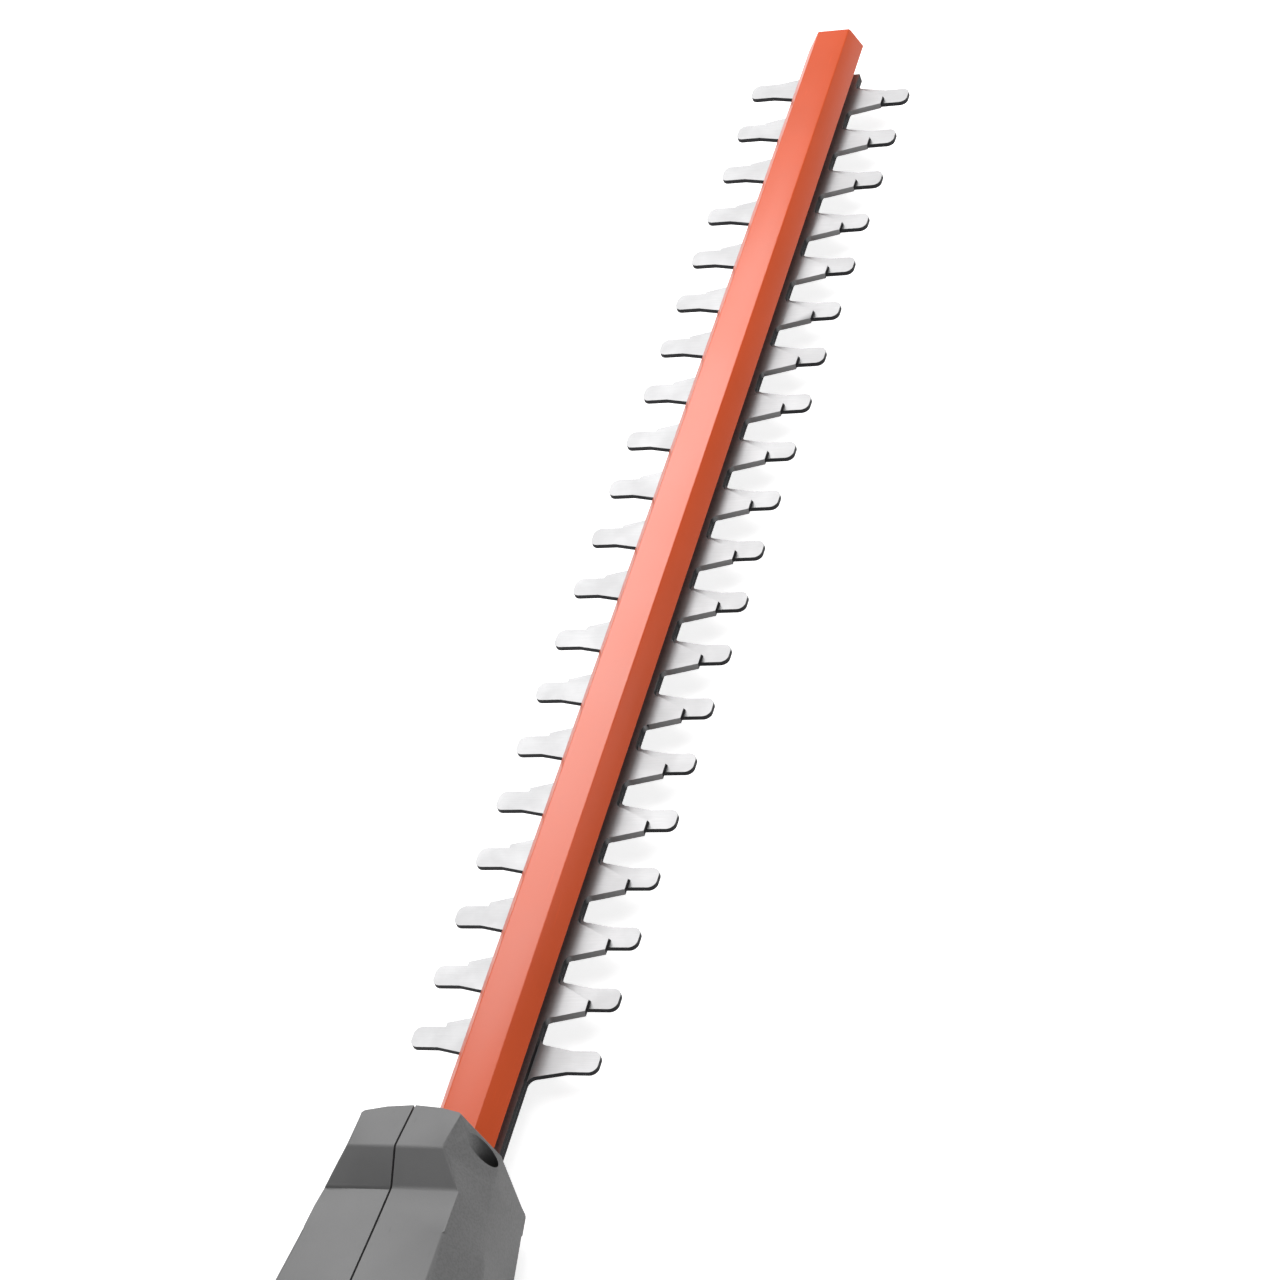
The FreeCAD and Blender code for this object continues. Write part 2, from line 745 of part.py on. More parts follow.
# ---------------------------------------------------------------- motor
def make_motor():
    can_inner = "motor_radius - motor_wall"
    cup = rod("can_outside", "motor_radius", "motor_tall", "0", "motor_y", "case_top")
    hollow = rod("can_inside", can_inner, "motor_tall", "0", "motor_y", "case_top + motor_wall")
    seat = rod("can_seat", "6", "10", "0", "motor_y", "case_top - 1")
    holes = [
        rod(f"can_hole_{i}", "screw_radius", "6", x, "motor_y", "case_top - 1")
        for i, x in enumerate((MOTOR_SCREW_X, f"-{MOTOR_SCREW_X}"))
    ]
    part("motor_can", cut("motor_can", cup, [hollow, seat] + holes))
    screws = [
        screw(f"motor_screw_{i}", "screw_radius", "3", "case_top - case_roof + motor_wall", "1.8",
              x, "motor_y", "case_roof")
        for i, x in enumerate((MOTOR_SCREW_X, f"-{MOTOR_SCREW_X}"))
    ]
    part("motor_screws", group("motor_screws", screws))
    cap_low = "cap_low"
    part("motor_end_cap", ring("motor_end_cap", "motor_radius", "6", "motor_cap", "0", "motor_y", cap_low))
    part("motor_bearings", group("motor_bearings", [
        ring(f"motor_bearing_{i}", "6", "motor_shaft + running", "4", "0", "motor_y", z)
        for i, z in enumerate(("case_top", cap_low))
    ]))
    magnet = ring("magnet_ring", can_inner, f"{can_inner} - magnet_thick", "motor_tall - 10", "0", "motor_y",
                  "case_top + 5")
    gap = block("magnet_gap", ("-motor_radius", "motor_radius"), ("motor_y - 3", "motor_y + 3"),
                ("case_top", "cap_low"))
    part("motor_magnets", cut("motor_magnets", magnet, [gap]))

    core = rod("armature_core", "armature_radius", "motor_tall - 18", "0", "motor_y", "case_top + 8")
    bore = rod("armature_bore", "motor_shaft", "motor_tall", "0", "motor_y", "case_top")
    slots = []
    slot_count = 9
    for i in range(slot_count):
        angle = 2 * math.pi * i / slot_count
        x = f"(armature_radius - 1.5) * {math.cos(angle):.6f}"
        y = f"motor_y + (armature_radius - 1.5) * {math.sin(angle):.6f}"
        slots.append(rod(f"armature_slot_{i}", "2", "motor_tall", x, y, "case_top"))
    part("armature", cut("armature", core, [bore] + slots))
    part("commutator", ring("commutator", "5.5", "motor_shaft", "5", "0", "motor_y", "cap_low - 6"))
    part("motor_shaft", rod("motor_shaft", "motor_shaft", "cap_low + 11 - 18.5", "0", "motor_y", "18.5"))
    brushes = []
    for i, (low, high) in enumerate((("5.6", "13"), ("-13", "-5.6"))):
        brushes.append(block(f"brush_{i}", (low, high), ("motor_y - 2.5", "motor_y + 2.5"),
                             ("cap_low - 5.5", "cap_low")))
    part("motor_brushes", group("motor_brushes", brushes))
    make_fan()


def make_fan():
    low = "cap_low + motor_cap + 1"
    disc = rod("fan_disc", "fan_radius", "1.2", "0", "motor_y", low)
    hub = rod("fan_hub", "4.5", "5", "0", "motor_y", low)
    blade_count = 9
    blades = []
    for i in range(blade_count):
        blade = block(f"fan_blade_{i}", ("4", "fan_radius - 0.5"), ("-0.6", "0.6"), ("0", "5"))
        angle = 360 * i / blade_count
        blade.Placement = FreeCAD.Placement(Vector(), Rotation(Vector(0, 0, 1), angle))
        turn = math.radians(angle)
        along = "3.5"
        put(blade, f"{along} * {math.cos(turn):.6f}", f"motor_y + {along} * {math.sin(turn):.6f}", low)
        blades.append(blade)
    wheel = fuse("fan_wheel", [disc, hub] + blades)
    bore = rod("fan_bore", "motor_shaft", "8", "0", "motor_y", f"{low} - 1")
    part("cooling_fan", cut("cooling_fan", wheel, [bore]))


make_motor()


# ---------------------------------------------------------------- housing
# The rear handle's side view as (back, height), and the finger opening through it.
HANDLE = [
    ("150", "3"),
    ("240", "10"),
    ("foot_front", "10"),
    ("foot_front", "foot_low + tongue_tall + slide_gap"),
    ("body_length - 16", "foot_low + tongue_tall + slide_gap"),
    ("body_length - 16", "foot_top"),
    ("body_length - 30", "foot_top + 18"),
    ("body_length - 40", "foot_top + 34"),
    ("body_length - 62", "foot_top + 43"),
    ("240", "122"),
    ("205", "108"),
    ("150", "88"),
]
FINGERS = [
    ("228", "54"),
    ("242", "42"),
    ("foot_front - 26", "42"),
    ("foot_front - 15", "52"),
    ("foot_front - 12", "foot_top - 4"),
    ("foot_front + 4", "foot_top"),
    ("foot_front + 42", "foot_top"),
    ("foot_front + 52", "foot_top + 9"),
    ("foot_front + 46", "foot_top + 14"),
    ("252", "foot_top + 8"),
    ("233", "foot_top + 2"),
]
BOSSES = [("57", "46"), ("86", "66"), ("150", "20"), ("152", "70"), ("216", "70"), ("290", "26"),
          ("body_length - 43", "foot_top + 22")]


def side_points(points):
    return [(f"nose - ({back})", height) for back, height in points]


def station_section(name, inset):
    """One of the housing's hexagonal cross sections, or the same one inside the wall."""
    half = f"{name}_half - {inset}"
    top_half = f"{name}_top_half - 0.65 * {inset}"
    crease = f"{name}_crease - 0.2 * {inset}"
    lean = name == "nose"
    base = f"{name}_low" if lean else "0"
    points = mirrored([
        (half, f"{name}_low + {inset} - {base}"),
        (half, f"{crease} - {base}"),
        (top_half, f"{name}_top - {inset} - {base}"),
    ])
    turn = Rotation(Vector(1, 0, 0), 90 - number("nose_lean")) if lean else UPRIGHT
    sketch = free_sketch(f"section_{name}_{'in' if inset != '0' else 'out'}", points, turn)
    return put(sketch, "0", f"nose - {name}_back - {inset if lean else '0'}", base)


def shell_loft(name, inset, names):
    item = doc.addObject("Part::Loft", name)
    item.Sections = [station_section(station, inset) for station in names]
    item.Solid = True
    item.Ruled = True
    return item


def offset_prism(name, sketch, distance, half):
    """A side view moved in or out by a distance, as wide as asked."""
    moved = doc.addObject("Part::Offset2D", name + "_offset")
    moved.Source = sketch
    moved.Join = 2
    bind(moved, "Value", distance)
    item = doc.addObject("Part::Extrusion", name)
    item.Base = moved
    item.DirMode = "Custom"
    item.Dir = Vector(1, 0, 0)
    item.Solid = True
    item.Symmetric = True
    bind(item, "LengthFwd", f"2 * ({half})")
    return item


def make_nose_axis(name, radius, low, length, side):
    """A rod along the nose screw's axis, which leans with the front face."""
    lean = number("nose_lean")
    item = doc.addObject("Part::Cylinder", name)
    bind(item, "Radius", radius)
    bind(item, "Height", length)
    item.Placement = FreeCAD.Placement(Vector(), Rotation(Vector(1, 0, 0), -lean))
    return put(item, f"{side}nose_screw_x", f"nose - 5 + ({low} - nose_low) * tan(nose_lean * 1 deg)", low)


def make_nose_bow():
    """The front face bows forward between its top corners and leans as the face does.

    Its top carries on the slope between the face and the ridge.
    """
    plan = free_sketch("bow_plan", [
        ("-nose_top_half", "-1"),
        ("nose_top_half", "-1"),
        ("nose_top_half", "0"),
        ("bow_half", "bow_side"),
        ("0", "bow_middle"),
        ("-bow_half", "bow_side"),
        ("-nose_top_half", "0"),
    ], Rotation())
    put(plan, "0", "nose", "nose_low")
    lean = math.radians(number("nose_lean"))
    column = doc.addObject("Part::Extrusion", "bow_column")
    column.Base = plan
    column.DirMode = "Custom"
    column.Dir = Vector(0, math.sin(lean), math.cos(lean))
    column.Solid = True
    bind(column, "LengthFwd", "2 * nose_top")
    slope = "(ridge_top - nose_crown) / (ridge_back + nose_rise)"
    ahead = "(nose_rise + 2 * bow_middle)"
    under_slope = side_prism("bow_slope", [
        ("nose - ridge_back", "nose_low"),
        (f"nose + {ahead}", "nose_low"),
        (f"nose + {ahead}", f"ridge_top - (ridge_back + {ahead}) * {slope}"),
        ("nose - ridge_back", "ridge_top"),
    ], "nose_top_half")
    return common("nose_bow", [column, under_slope])


def rounded(name, base, radius, chosen):
    """Round the edges of a solid for which the test holds."""
    doc.recompute()
    item = doc.addObject("Part::Fillet", name)
    item.Base = base
    size = number(radius)
    item.Edges = [(i, size, size) for i, edge in enumerate(base.Shape.Edges, start=1) if chosen(edge)]
    return item


def make_housing():
    names = [station[0] for station in STATIONS]
    front_out = shell_loft("front_outside", "0", names)
    front_in = shell_loft("front_inside", "wall", names)

    grip_side = free_sketch("grip_side", side_points(HANDLE), SIDEWAYS)
    fingers_side = free_sketch("fingers_side", side_points(FINGERS), SIDEWAYS)
    grip_out = offset_prism("grip_outside", grip_side, "0.001", "grip_half")
    fingers_out = offset_prism("fingers_outside", fingers_side, "0.001", "grip_half + 1")
    grip_in = offset_prism("grip_inside", grip_side, "-wall", "grip_half - wall")
    fingers_in = offset_prism("fingers_inside", fingers_side, "wall", "grip_half")
    grip_ring = cut("grip_ring", grip_out, [fingers_out])
    reach = number("grip_half") - 0.01

    def on_cheek(edge):
        ends = [vertex.X for vertex in edge.Vertexes]
        return all(abs(x) > reach for x in ends) and abs(ends[0] - ends[-1]) < reach

    grip_round = rounded("grip_round", grip_ring, "grip_round", on_cheek)
    grip_core = cut("grip_core", grip_in, [fingers_in])
    foot_y = ("nose - body_length", "nose - foot_front")
    foot = block("foot_outside", ("-foot_half", "foot_half"), foot_y, ("foot_low", "foot_top"))
    foot_in = block(
        "foot_inside",
        ("-foot_half + wall", "foot_half - wall"),
        ("nose - body_length + wall", "nose - foot_front - wall"),
        ("foot_low + tongue_tall + slide_gap + wall", "foot_top - wall"),
    )
    channel = block(
        "foot_channel",
        ("-tongue_half - slide_gap", "tongue_half + slide_gap"),
        ("nose - body_length - 1", "nose - battery_front"),
        ("foot_low - 1", "foot_low + tongue_tall + slide_gap"),
    )
    outside = fuse("housing_outside", [front_out, grip_round, foot, make_nose_bow()])
    inside = fuse("housing_inside", [front_in, grip_core])
    shell = cut("housing_shell", outside, [inside, foot_in])
    columns = []
    drills = []
    for i, (back, height) in enumerate(BOSSES):
        y = f"nose - ({back})"
        columns.append(rod(f"boss_{i}", "boss_radius", "100", "-50", y, height, "X"))
        drills.append(rod(
            f"boss_drill_{i}", "screw_radius + running", "screw_seat + 13", "-13", y, height, "X"))
        drills.append(rod(
            f"boss_recess_{i}", "screw_head + 0.4", "60", "screw_seat", y, height, "X"))
    for side, label in (("", "right"), ("-", "left")):
        columns.append(make_nose_axis(
            f"nose_column_{label}", "nose_recess + 1.8", "nose_low", "60", side))
        drills.append(make_nose_axis(
            f"nose_drill_{label}", "screw_radius + running", "nose_low - 2", "60", side))
        drills.append(make_nose_axis(
            f"nose_pocket_{label}", "nose_recess", "nose_low + 12", "60", side))
    fitted = common("housing_columns", [outside, fuse("columns", columns)])
    mouth = block(
        "housing_mouth",
        ("-mouth_half", "mouth_half"),
        ("nose - gear_back + 1", "nose + 12"),
        ("-1", "bar_top + cover_tall + 0.6"),
    )
    vents = [
        block(f"vent_{i}", ("-60", "60"),
              (f"nose - {100 + 8 * i} - 3", f"nose - {100 + 8 * i}"), ("26", "50"))
        for i in range(6)
    ]
    trigger_slot = block("trigger_slot", ("-6.6", "6.6"), ("nose - 288", "nose - 250"), ("90", "104"))
    button_hole = rod("button_hole", "7.4", "20", "0", "nose - 305", "115")
    openings = [mouth, channel, trigger_slot, button_hole] + vents + drills
    whole = cut("housing_whole", fuse("housing_body", [shell, fitted]), openings)
    for name, x in (("left_housing", ("-100", "0")), ("right_housing", ("0", "100"))):
        half = block(name + "_side", x, ("nose - body_length - 50", "nose + 50"), ("-50", "200"))
        reveal = cut(name + "_reveal", half, [block(
            name + "_seam", ("-seam_reveal", "seam_reveal"),
            ("nose - body_length - 50", "nose + 50"), ("-50", "200"))])
        # the rim stands back from the seam by the reveal, and the screw columns meet in the middle
        rim = common(name + "_rim", [whole, reveal])
        inner = common(name + "_inner", [inside, half])
        posts = common(name + "_posts", [fuse(name + "_columns", columns[:len(BOSSES)]), inner])
        drilled = cut(name + "_posts_drilled", posts, drills[:2 * len(BOSSES)])
        part(name, fuse(name, [rim, drilled]))


make_housing()


# ---------------------------------------------------------------- nose plate, screws and guard
def make_nose_plate():
    low = "nose_low - nose_plate_thick"
    plate = block(
        "nose_plate_solid",
        ("-nose_half + 1", "nose_half - 1"), ("nose - 28", "nose - 1"), (low, "nose_low"))
    holes = [make_nose_axis(f"nose_plate_hole_{i}", "screw_radius", "nose_low - 6", "12", side)
             for i, side in enumerate(("", "-"))]
    part("nose_plate", cut("nose_plate", plate, holes))
    screws = []
    for i, side in enumerate(("", "-")):
        shank = make_nose_axis(f"nose_shank_{i}", "screw_radius", "nose_low - 1.5", "14", side)
        head = make_nose_axis(f"nose_head_{i}", "nose_recess - 0.3", "nose_low + 12", "2.4", side)
        screws.append(fuse(f"nose_screw_{i}", [shank, head]))
    part("nose_screws", group("nose_screws", screws))


def make_housing_screws():
    screws = []
    for i, (back, height) in enumerate(BOSSES):
        y = f"nose - ({back})"
        shank = rod(f"housing_shank_{i}", "screw_radius", "screw_seat + 11", "-11", y, height, "X")
        head = rod(f"housing_head_{i}", "screw_head", "2.2", "screw_seat", y, height, "X")
        screws.append(fuse(f"housing_screw_{i}", [shank, head]))
    part("housing_screws", group("housing_screws", screws))


def make_guard():
    body = make_body("guard_plate", "0", "nose - guard_back", "0")
    points = [
        ("guard_half - 22", "12"),
        ("guard_half", "48"),
        ("guard_half", "guard_top - 38"),
        ("guard_half - 26", "guard_top"),
    ]
    pad(body, "guard_solid", body_sketch(body, "guard_sketch", "XZ_Plane", mirrored(points)), "guard_thick")
    part("hand_guard", cut("hand_guard", body, [doc.getObject("front_outside")]))


# ---------------------------------------------------------------- front handle
def arc_path(points, radius):
    """Straight runs through the points, joined by tangent arcs."""
    edges = []
    start = points[0]
    for before, corner, after in zip(points, points[1:], points[2:]):
        into = (corner - before).normalize()
        out = (after - corner).normalize()
        turn = into.getAngle(out)
        trim = radius * math.tan(turn / 2)
        first = corner - into * trim
        last = corner + out * trim
        bisector = (out - into).normalize()
        middle = corner + bisector * (radius / math.cos(turn / 2) - radius)
        edges.append(Part.LineSegment(start, first).toShape())
        edges.append(Part.Arc(first, middle, last).toShape())
        start = last
    edges.append(Part.LineSegment(start, points[-1]).toShape())
    return Part.Wire(edges)


def tube(name, points, bend, radius):
    """A round bar along a bent path, as its own object."""
    path = arc_path(points, bend)
    start = points[0]
    section = Part.Wire(Part.makeCircle(radius, start, points[1] - start))
    item = doc.addObject("Part::Feature", name)
    item.Shape = path.makePipeShell([section], True, False)
    return item


def make_front_handle():
    half = number("handle_half")
    top = number("handle_top") - number("handle_radius")
    foot_x = number("handle_foot_x")
    foot_z = number("handle_foot_z")
    side = [Vector(foot_x, 0, foot_z), Vector(half - 4, 0, foot_z + 14), Vector(half, 0, foot_z + 50),
            Vector(half, 0, top)]
    points = side + [Vector(-p.x, p.y, p.z) for p in reversed(side)]
    bow = put(tube("handle_bow", points, 20, number("handle_radius")), "0", "nose - handle_back", "0")
    feet = []
    for name, low, high in (
        ("right", "handle_foot_x - 14", "handle_foot_x + 3"),
        ("left", "-handle_foot_x - 3", "-handle_foot_x + 14"),
    ):
        feet.append(rod(f"handle_foot_{name}", "handle_radius + 2", f"({high}) - ({low})",
                        low, "nose - handle_back", "handle_foot_z", "X"))
    solid = fuse("handle_solid", [bow] + feet)
    bore_low = "handle_top - 2 * handle_radius - 1"
    pins = [rod(f"handle_pin_bore_{i}", "2.5 + 0.3", "14", x, "nose - handle_back", bore_low)
            for i, x in enumerate(("36", "-36"))]
    part("front_handle", cut("front_handle", solid, [doc.getObject("front_outside")] + pins))

    bar = rod("switch_bar_rod", "bar_radius", "92", "-46", "nose - handle_back", SWITCH_Z, "X")
    bar_pins = [rod(f"switch_bar_pin_{i}", "2.5", "16", x, "nose - handle_back", SWITCH_Z)
                for i, x in enumerate(("36", "-36"))]
    part("front_switch_bar", fuse("front_switch_bar", [bar] + bar_pins))


SWITCH_Z = "handle_top - 2 * handle_radius - bar_radius - 5.6"


# ---------------------------------------------------------------- trigger, switch and leads
def make_controls():
    trigger = [("251", "101"), ("287", "101"), ("287", "92"), ("272", "86"), ("258", "87"), ("251", "94")]
    part("trigger", side_prism("trigger", side_points(trigger), "6"))
    part("trigger_switch", block(
        "trigger_switch", ("-6.5", "6.5"), ("nose - 276", "nose - 254"), ("107", "118")))
    coil = doc.addObject("Part::Helix", "spring_coil")
    coil.Pitch = 1.7
    coil.Height = 5.1
    coil.Radius = 2.6
    wire = doc.addObject("Part::Circle", "spring_wire")
    wire.Radius = 0.4
    wire.Placement = FreeCAD.Placement(Vector(2.6, 0, 0), Rotation(Vector(1, 0, 0), 90))
    spring = doc.addObject("Part::Sweep", "trigger_spring")
    spring.Sections = [wire]
    spring.Spine = (coil, ["Edge1"])
    spring.Solid = True
    spring.Frenet = True
    put(spring, "0", "nose - 265", "101.45")
    part("trigger_spring", spring)

    cap = rod("button_cap", "6.8", "7", "0", "nose - 305", "120")
    flange = rod("button_flange", "9", "1.6", "0", "nose - 305", "118.4")
    part("lock_off_button", fuse("lock_off_button", [cap, flange]))


def make_leads():
    """Two leads from the motor up and back through the grip to the switch, and two on to the foot."""
    front = []
    rear = []
    nose = number("nose")
    motor_y = number("motor_y")
    for i, side in enumerate((-1, 1)):
        front.append(tube(f"motor_lead_{i}", [
            Vector(side * 8, motor_y - 17.85, 80.5),
            Vector(side * 8, motor_y - 26, 80.5),
            Vector(side * 7, nose - 160, 88),
            Vector(side * 6, nose - 205, 91),
            Vector(side * 5, nose - 235, 102),
            Vector(side * 4.2, nose - 246, 110),
            Vector(side * 4, nose - 253.9, 110),
        ], 6, 1.3))
        rear.append(tube(f"battery_lead_{i}", [
            Vector(side * 4, nose - 276.1, 112),
            Vector(side * 4, nose - 285, 112),
            Vector(side * 5, nose - 330, 113),
            Vector(side * 7, nose - 392, 116),
            Vector(side * 8, nose - 404, 102),
            Vector(side * 9, nose - 400, 79.6),
        ], 5, 1.3))
    part("motor_leads", group("motor_leads", front))
    part("battery_leads", group("battery_leads", rear))


def make_board():
    low = "foot_low + tongue_tall + slide_gap + wall + 0.4"
    part("control_board", block(
        "control_board", ("-28", "28"), ("nose - 446", "nose - 366"), (low, f"{low} + 1.6")))
    places = (("-20", "375"), ("18", "376"), ("20", "420"), ("-20", "430"), ("0", "436"))
    chips = []
    for i, (x, back) in enumerate(places):
        chips.append(block(f"chip_{i}", (x, f"{x} + 6"), (f"nose - {back} - 6", f"nose - {back}"),
                           (f"{low} + 1.6", f"{low} + 4.6")))
    part("board_components", group("board_components", chips))


# ---------------------------------------------------------------- battery
def make_battery():
    y = ("nose - body_length", "nose - battery_front")
    x = ("-battery_half", "battery_half")
    split = "32"
    wall = "2.4"
    inner_x = (f"-battery_half + {wall}", f"battery_half - {wall}")
    inner_y = (f"nose - body_length + {wall}", f"nose - battery_front - {wall}")
    tray = block("tray_solid", x, y, ("0", split))
    doc.recompute()
    tray_round = rounded("tray_round", tray, "grip_round - 1", lambda edge: is_upright(edge))
    tray_in = block("tray_inside", inner_x, inner_y, (wall, "foot_low"))
    part("battery_tray", cut("battery_tray", tray_round, [tray_in]))

    lid = block("lid_solid", x, y, (split, "foot_low - 0.6"))
    doc.recompute()
    lid_round = rounded("lid_round", lid, "grip_round - 1", lambda edge: is_upright(edge))
    tongue = block("tongue_solid", ("-tongue_half", "tongue_half"),
                   ("nose - body_length + 3", "nose - battery_front - 2"),
                   ("foot_low - 1", "foot_low + tongue_tall"))
    lid_in = block("lid_inside", inner_x, inner_y, ("0", f"foot_low - 0.6 - {wall}"))
    groove_x = (("tongue_half - 2.2", "tongue_half + 1"), ("-tongue_half - 1", "-tongue_half + 2.2"))
    grooves = [
        block(f"tongue_groove_{i}", (low, high), ("nose - body_length - 1", "nose - battery_front + 1"),
              (f"{RAIL_LOW} - slide_gap", f"{RAIL_LOW} + rail_thick + slide_gap"))
        for i, (low, high) in enumerate(groove_x)
    ]
    slots = [
        block(f"tongue_slot_{i}", (f"{middle} - 1", f"{middle} + 1"),
              ("nose - battery_front - 18", "nose - battery_front + 1"),
              ("foot_low + 1.4", "foot_low + tongue_tall + 1"))
        for i, middle in enumerate(BLADE_X)
    ]
    latch = block("latch_pocket", ("-12.4", "12.4"), ("nose - body_length - 1", "nose - body_length + 6.4"),
                  ("46", "foot_low + tongue_tall + 1"))
    lid_fused = fuse("lid_fused", [lid_round, tongue])
    part("battery_lid", cut("battery_lid", lid_fused, [lid_in, latch] + grooves + slots))
    part("release_button", block(
        "release_button", ("-12", "12"),
        ("nose - body_length + 0.4", "nose - body_length + 2"), ("50", "61")))
    cells = []
    for row in range(2):
        for column in range(5):
            z = f"{wall} + 0.4 + cell_radius + {row} * (2 * cell_radius + 1)"
            back = f"battery_front + {wall} + 1.6 + cell_radius + {column} * (2 * cell_radius + 1.2)"
            cells.append(rod(f"cell_{row}_{column}", "cell_radius", "cell_length", "-cell_length / 2",
                             f"nose - ({back})", z, "X"))
    part("battery_cells", group("battery_cells", cells))


RAIL_LOW = "foot_low + 2.6"
BLADE_X = ("-9", "0", "9")


def make_terminals():
    part("foot_rails", group("foot_rails", [
        block(f"rail_{i}", (low, high), ("nose - body_length + 6", "nose - battery_front - 1"),
              (RAIL_LOW, f"{RAIL_LOW} + rail_thick"))
        for i, (low, high) in enumerate((
            ("tongue_half - 1.6", "tongue_half + slide_gap"),
            ("-tongue_half - slide_gap", "-tongue_half + 1.6")))
    ]))
    blades = [
        block(f"terminal_{i}", (f"{x} - 0.4", f"{x} + 0.4"),
              ("nose - battery_front - 14", "nose - battery_front"), ("foot_low + 2", "foot_low + 6"))
        for i, x in enumerate(BLADE_X)
    ]
    part("terminal_blades", group("terminal_blades", blades))
    contacts = []
    for i, x in enumerate(BLADE_X):
        for j, side in enumerate(("-", "")):
            low = f"{x} - 0.95" if side else f"{x} + 0.45"
            high = f"{x} - 0.45" if side else f"{x} + 0.95"
            contacts.append(block(
                f"contact_{i}_{j}", (low, high),
                ("nose - battery_front - 17.8", "nose - battery_front - 6"),
                ("foot_low + 1.6", "foot_low + 6")))
    part("battery_contacts", group("battery_contacts", contacts))


def make_grip_pads():
    """Soft pads let into both cheeks of the rear grip."""
    pads = [("262", "106"), ("262", "117"), ("385", "122"), ("385", "108")]
    for name, low in (("left_grip_pad", "-"), ("right_grip_pad", "")):
        body = make_body(name, f"{low}grip_half" if low else "grip_half", "0", "0")
        sketch = body_sketch(body, name + "_sketch", "YZ_Plane", side_points(pads))
        pad(body, name + "_solid", sketch, "1.2", bool(low))
        part(name, body)


make_nose_plate()
make_housing_screws()
make_guard()
make_front_handle()
make_controls()
make_leads()
make_board()
make_battery()
make_terminals()
make_grip_pads()


# ---------------------------------------------------------------- check and write
doc.recompute()
failed = [item.Name for item in doc.Objects if {"Invalid", "Error"} & set(item.State)]
failed += [item.Label for item in parts if item.Shape.isNull() or not item.Shape.isValid()]
if failed:
    raise RuntimeError("these objects failed: " + ", ".join(failed))
os.makedirs("parts", exist_ok=True)
for item in parts:
    item.Shape.exportStep(f"parts/{item.Label}.step")
print(len(parts), "parts written")
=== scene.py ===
import json
import math

import bmesh
import bpy
from bpy.props import FloatProperty, FloatVectorProperty, PointerProperty
from mathutils import Matrix, Vector

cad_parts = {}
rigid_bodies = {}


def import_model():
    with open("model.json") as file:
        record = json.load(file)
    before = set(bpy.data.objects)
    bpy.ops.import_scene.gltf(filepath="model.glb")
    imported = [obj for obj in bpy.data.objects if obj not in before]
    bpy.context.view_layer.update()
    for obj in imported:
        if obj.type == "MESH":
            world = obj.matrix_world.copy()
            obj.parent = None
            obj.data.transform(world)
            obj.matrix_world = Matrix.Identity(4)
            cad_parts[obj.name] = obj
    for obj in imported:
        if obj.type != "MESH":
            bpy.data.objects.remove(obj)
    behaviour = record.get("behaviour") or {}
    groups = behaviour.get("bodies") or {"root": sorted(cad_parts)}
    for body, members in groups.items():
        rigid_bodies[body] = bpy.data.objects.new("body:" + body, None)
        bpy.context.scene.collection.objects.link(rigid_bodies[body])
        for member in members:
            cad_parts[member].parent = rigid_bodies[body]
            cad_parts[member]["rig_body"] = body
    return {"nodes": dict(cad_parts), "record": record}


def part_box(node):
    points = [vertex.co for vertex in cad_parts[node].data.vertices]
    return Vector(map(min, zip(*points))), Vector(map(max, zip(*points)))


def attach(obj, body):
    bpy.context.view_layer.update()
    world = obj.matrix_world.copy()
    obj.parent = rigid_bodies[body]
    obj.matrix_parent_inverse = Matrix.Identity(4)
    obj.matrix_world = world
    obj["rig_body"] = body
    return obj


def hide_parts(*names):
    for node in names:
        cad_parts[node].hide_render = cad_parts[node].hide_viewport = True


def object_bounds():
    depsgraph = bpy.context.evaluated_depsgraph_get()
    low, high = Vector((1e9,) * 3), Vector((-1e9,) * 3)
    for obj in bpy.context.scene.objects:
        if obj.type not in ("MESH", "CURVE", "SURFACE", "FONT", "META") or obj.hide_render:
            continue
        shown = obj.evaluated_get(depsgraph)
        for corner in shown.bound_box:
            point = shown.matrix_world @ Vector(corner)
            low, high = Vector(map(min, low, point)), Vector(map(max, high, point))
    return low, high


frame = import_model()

bl_info = {
    "name": "Cordless Hedge Trimmer",
    "version": (1, 0, 0),
    "blender": (4, 5, 0),
    "location": "3D View > Sidebar > Trimmer",
    "description": "Dresses the frame of a cordless hedge trimmer with its finished pieces and materials",
    "category": "Object",
}

NODES = frame["nodes"]
CAD_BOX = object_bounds()
SLOT_OF = {row["node"]: row["material_slot"] for row in frame["record"]["subparts"]}
MM = 0.001


def length(name, default, description):
    """A size in metres that a user may change."""
    return FloatProperty(
        name=name, description=description, default=default, min=0.0, unit="LENGTH", precision=5
    )


def tint(name, default, description):
    """A colour that a user may change."""
    return FloatVectorProperty(
        name=name, description=description, default=default, size=3, min=0.0, max=1.0, subtype="COLOR"
    )


class TrimmerSizes(bpy.types.PropertyGroup):
    housing_edge: length("Housing edge", 0.9 * MM, "Width of the rounded edges of the moulded housing")
    cover_edge: length("Cover edge", 0.35 * MM, "Width of the rounded folds of the blade cover")
    blade_edge: length("Blade edge", 0.12 * MM, "Width of the broken edges of the steel blades")
    root_round: length("Root rounding", 2.8 * MM, "Width of the rounded corners between the teeth")
    battery_edge: length("Battery edge", 1.2 * MM, "Width of the rounded edges of the battery case")
    small_edge: length("Small edge", 0.4 * MM, "Width of the rounded edges of small pieces")


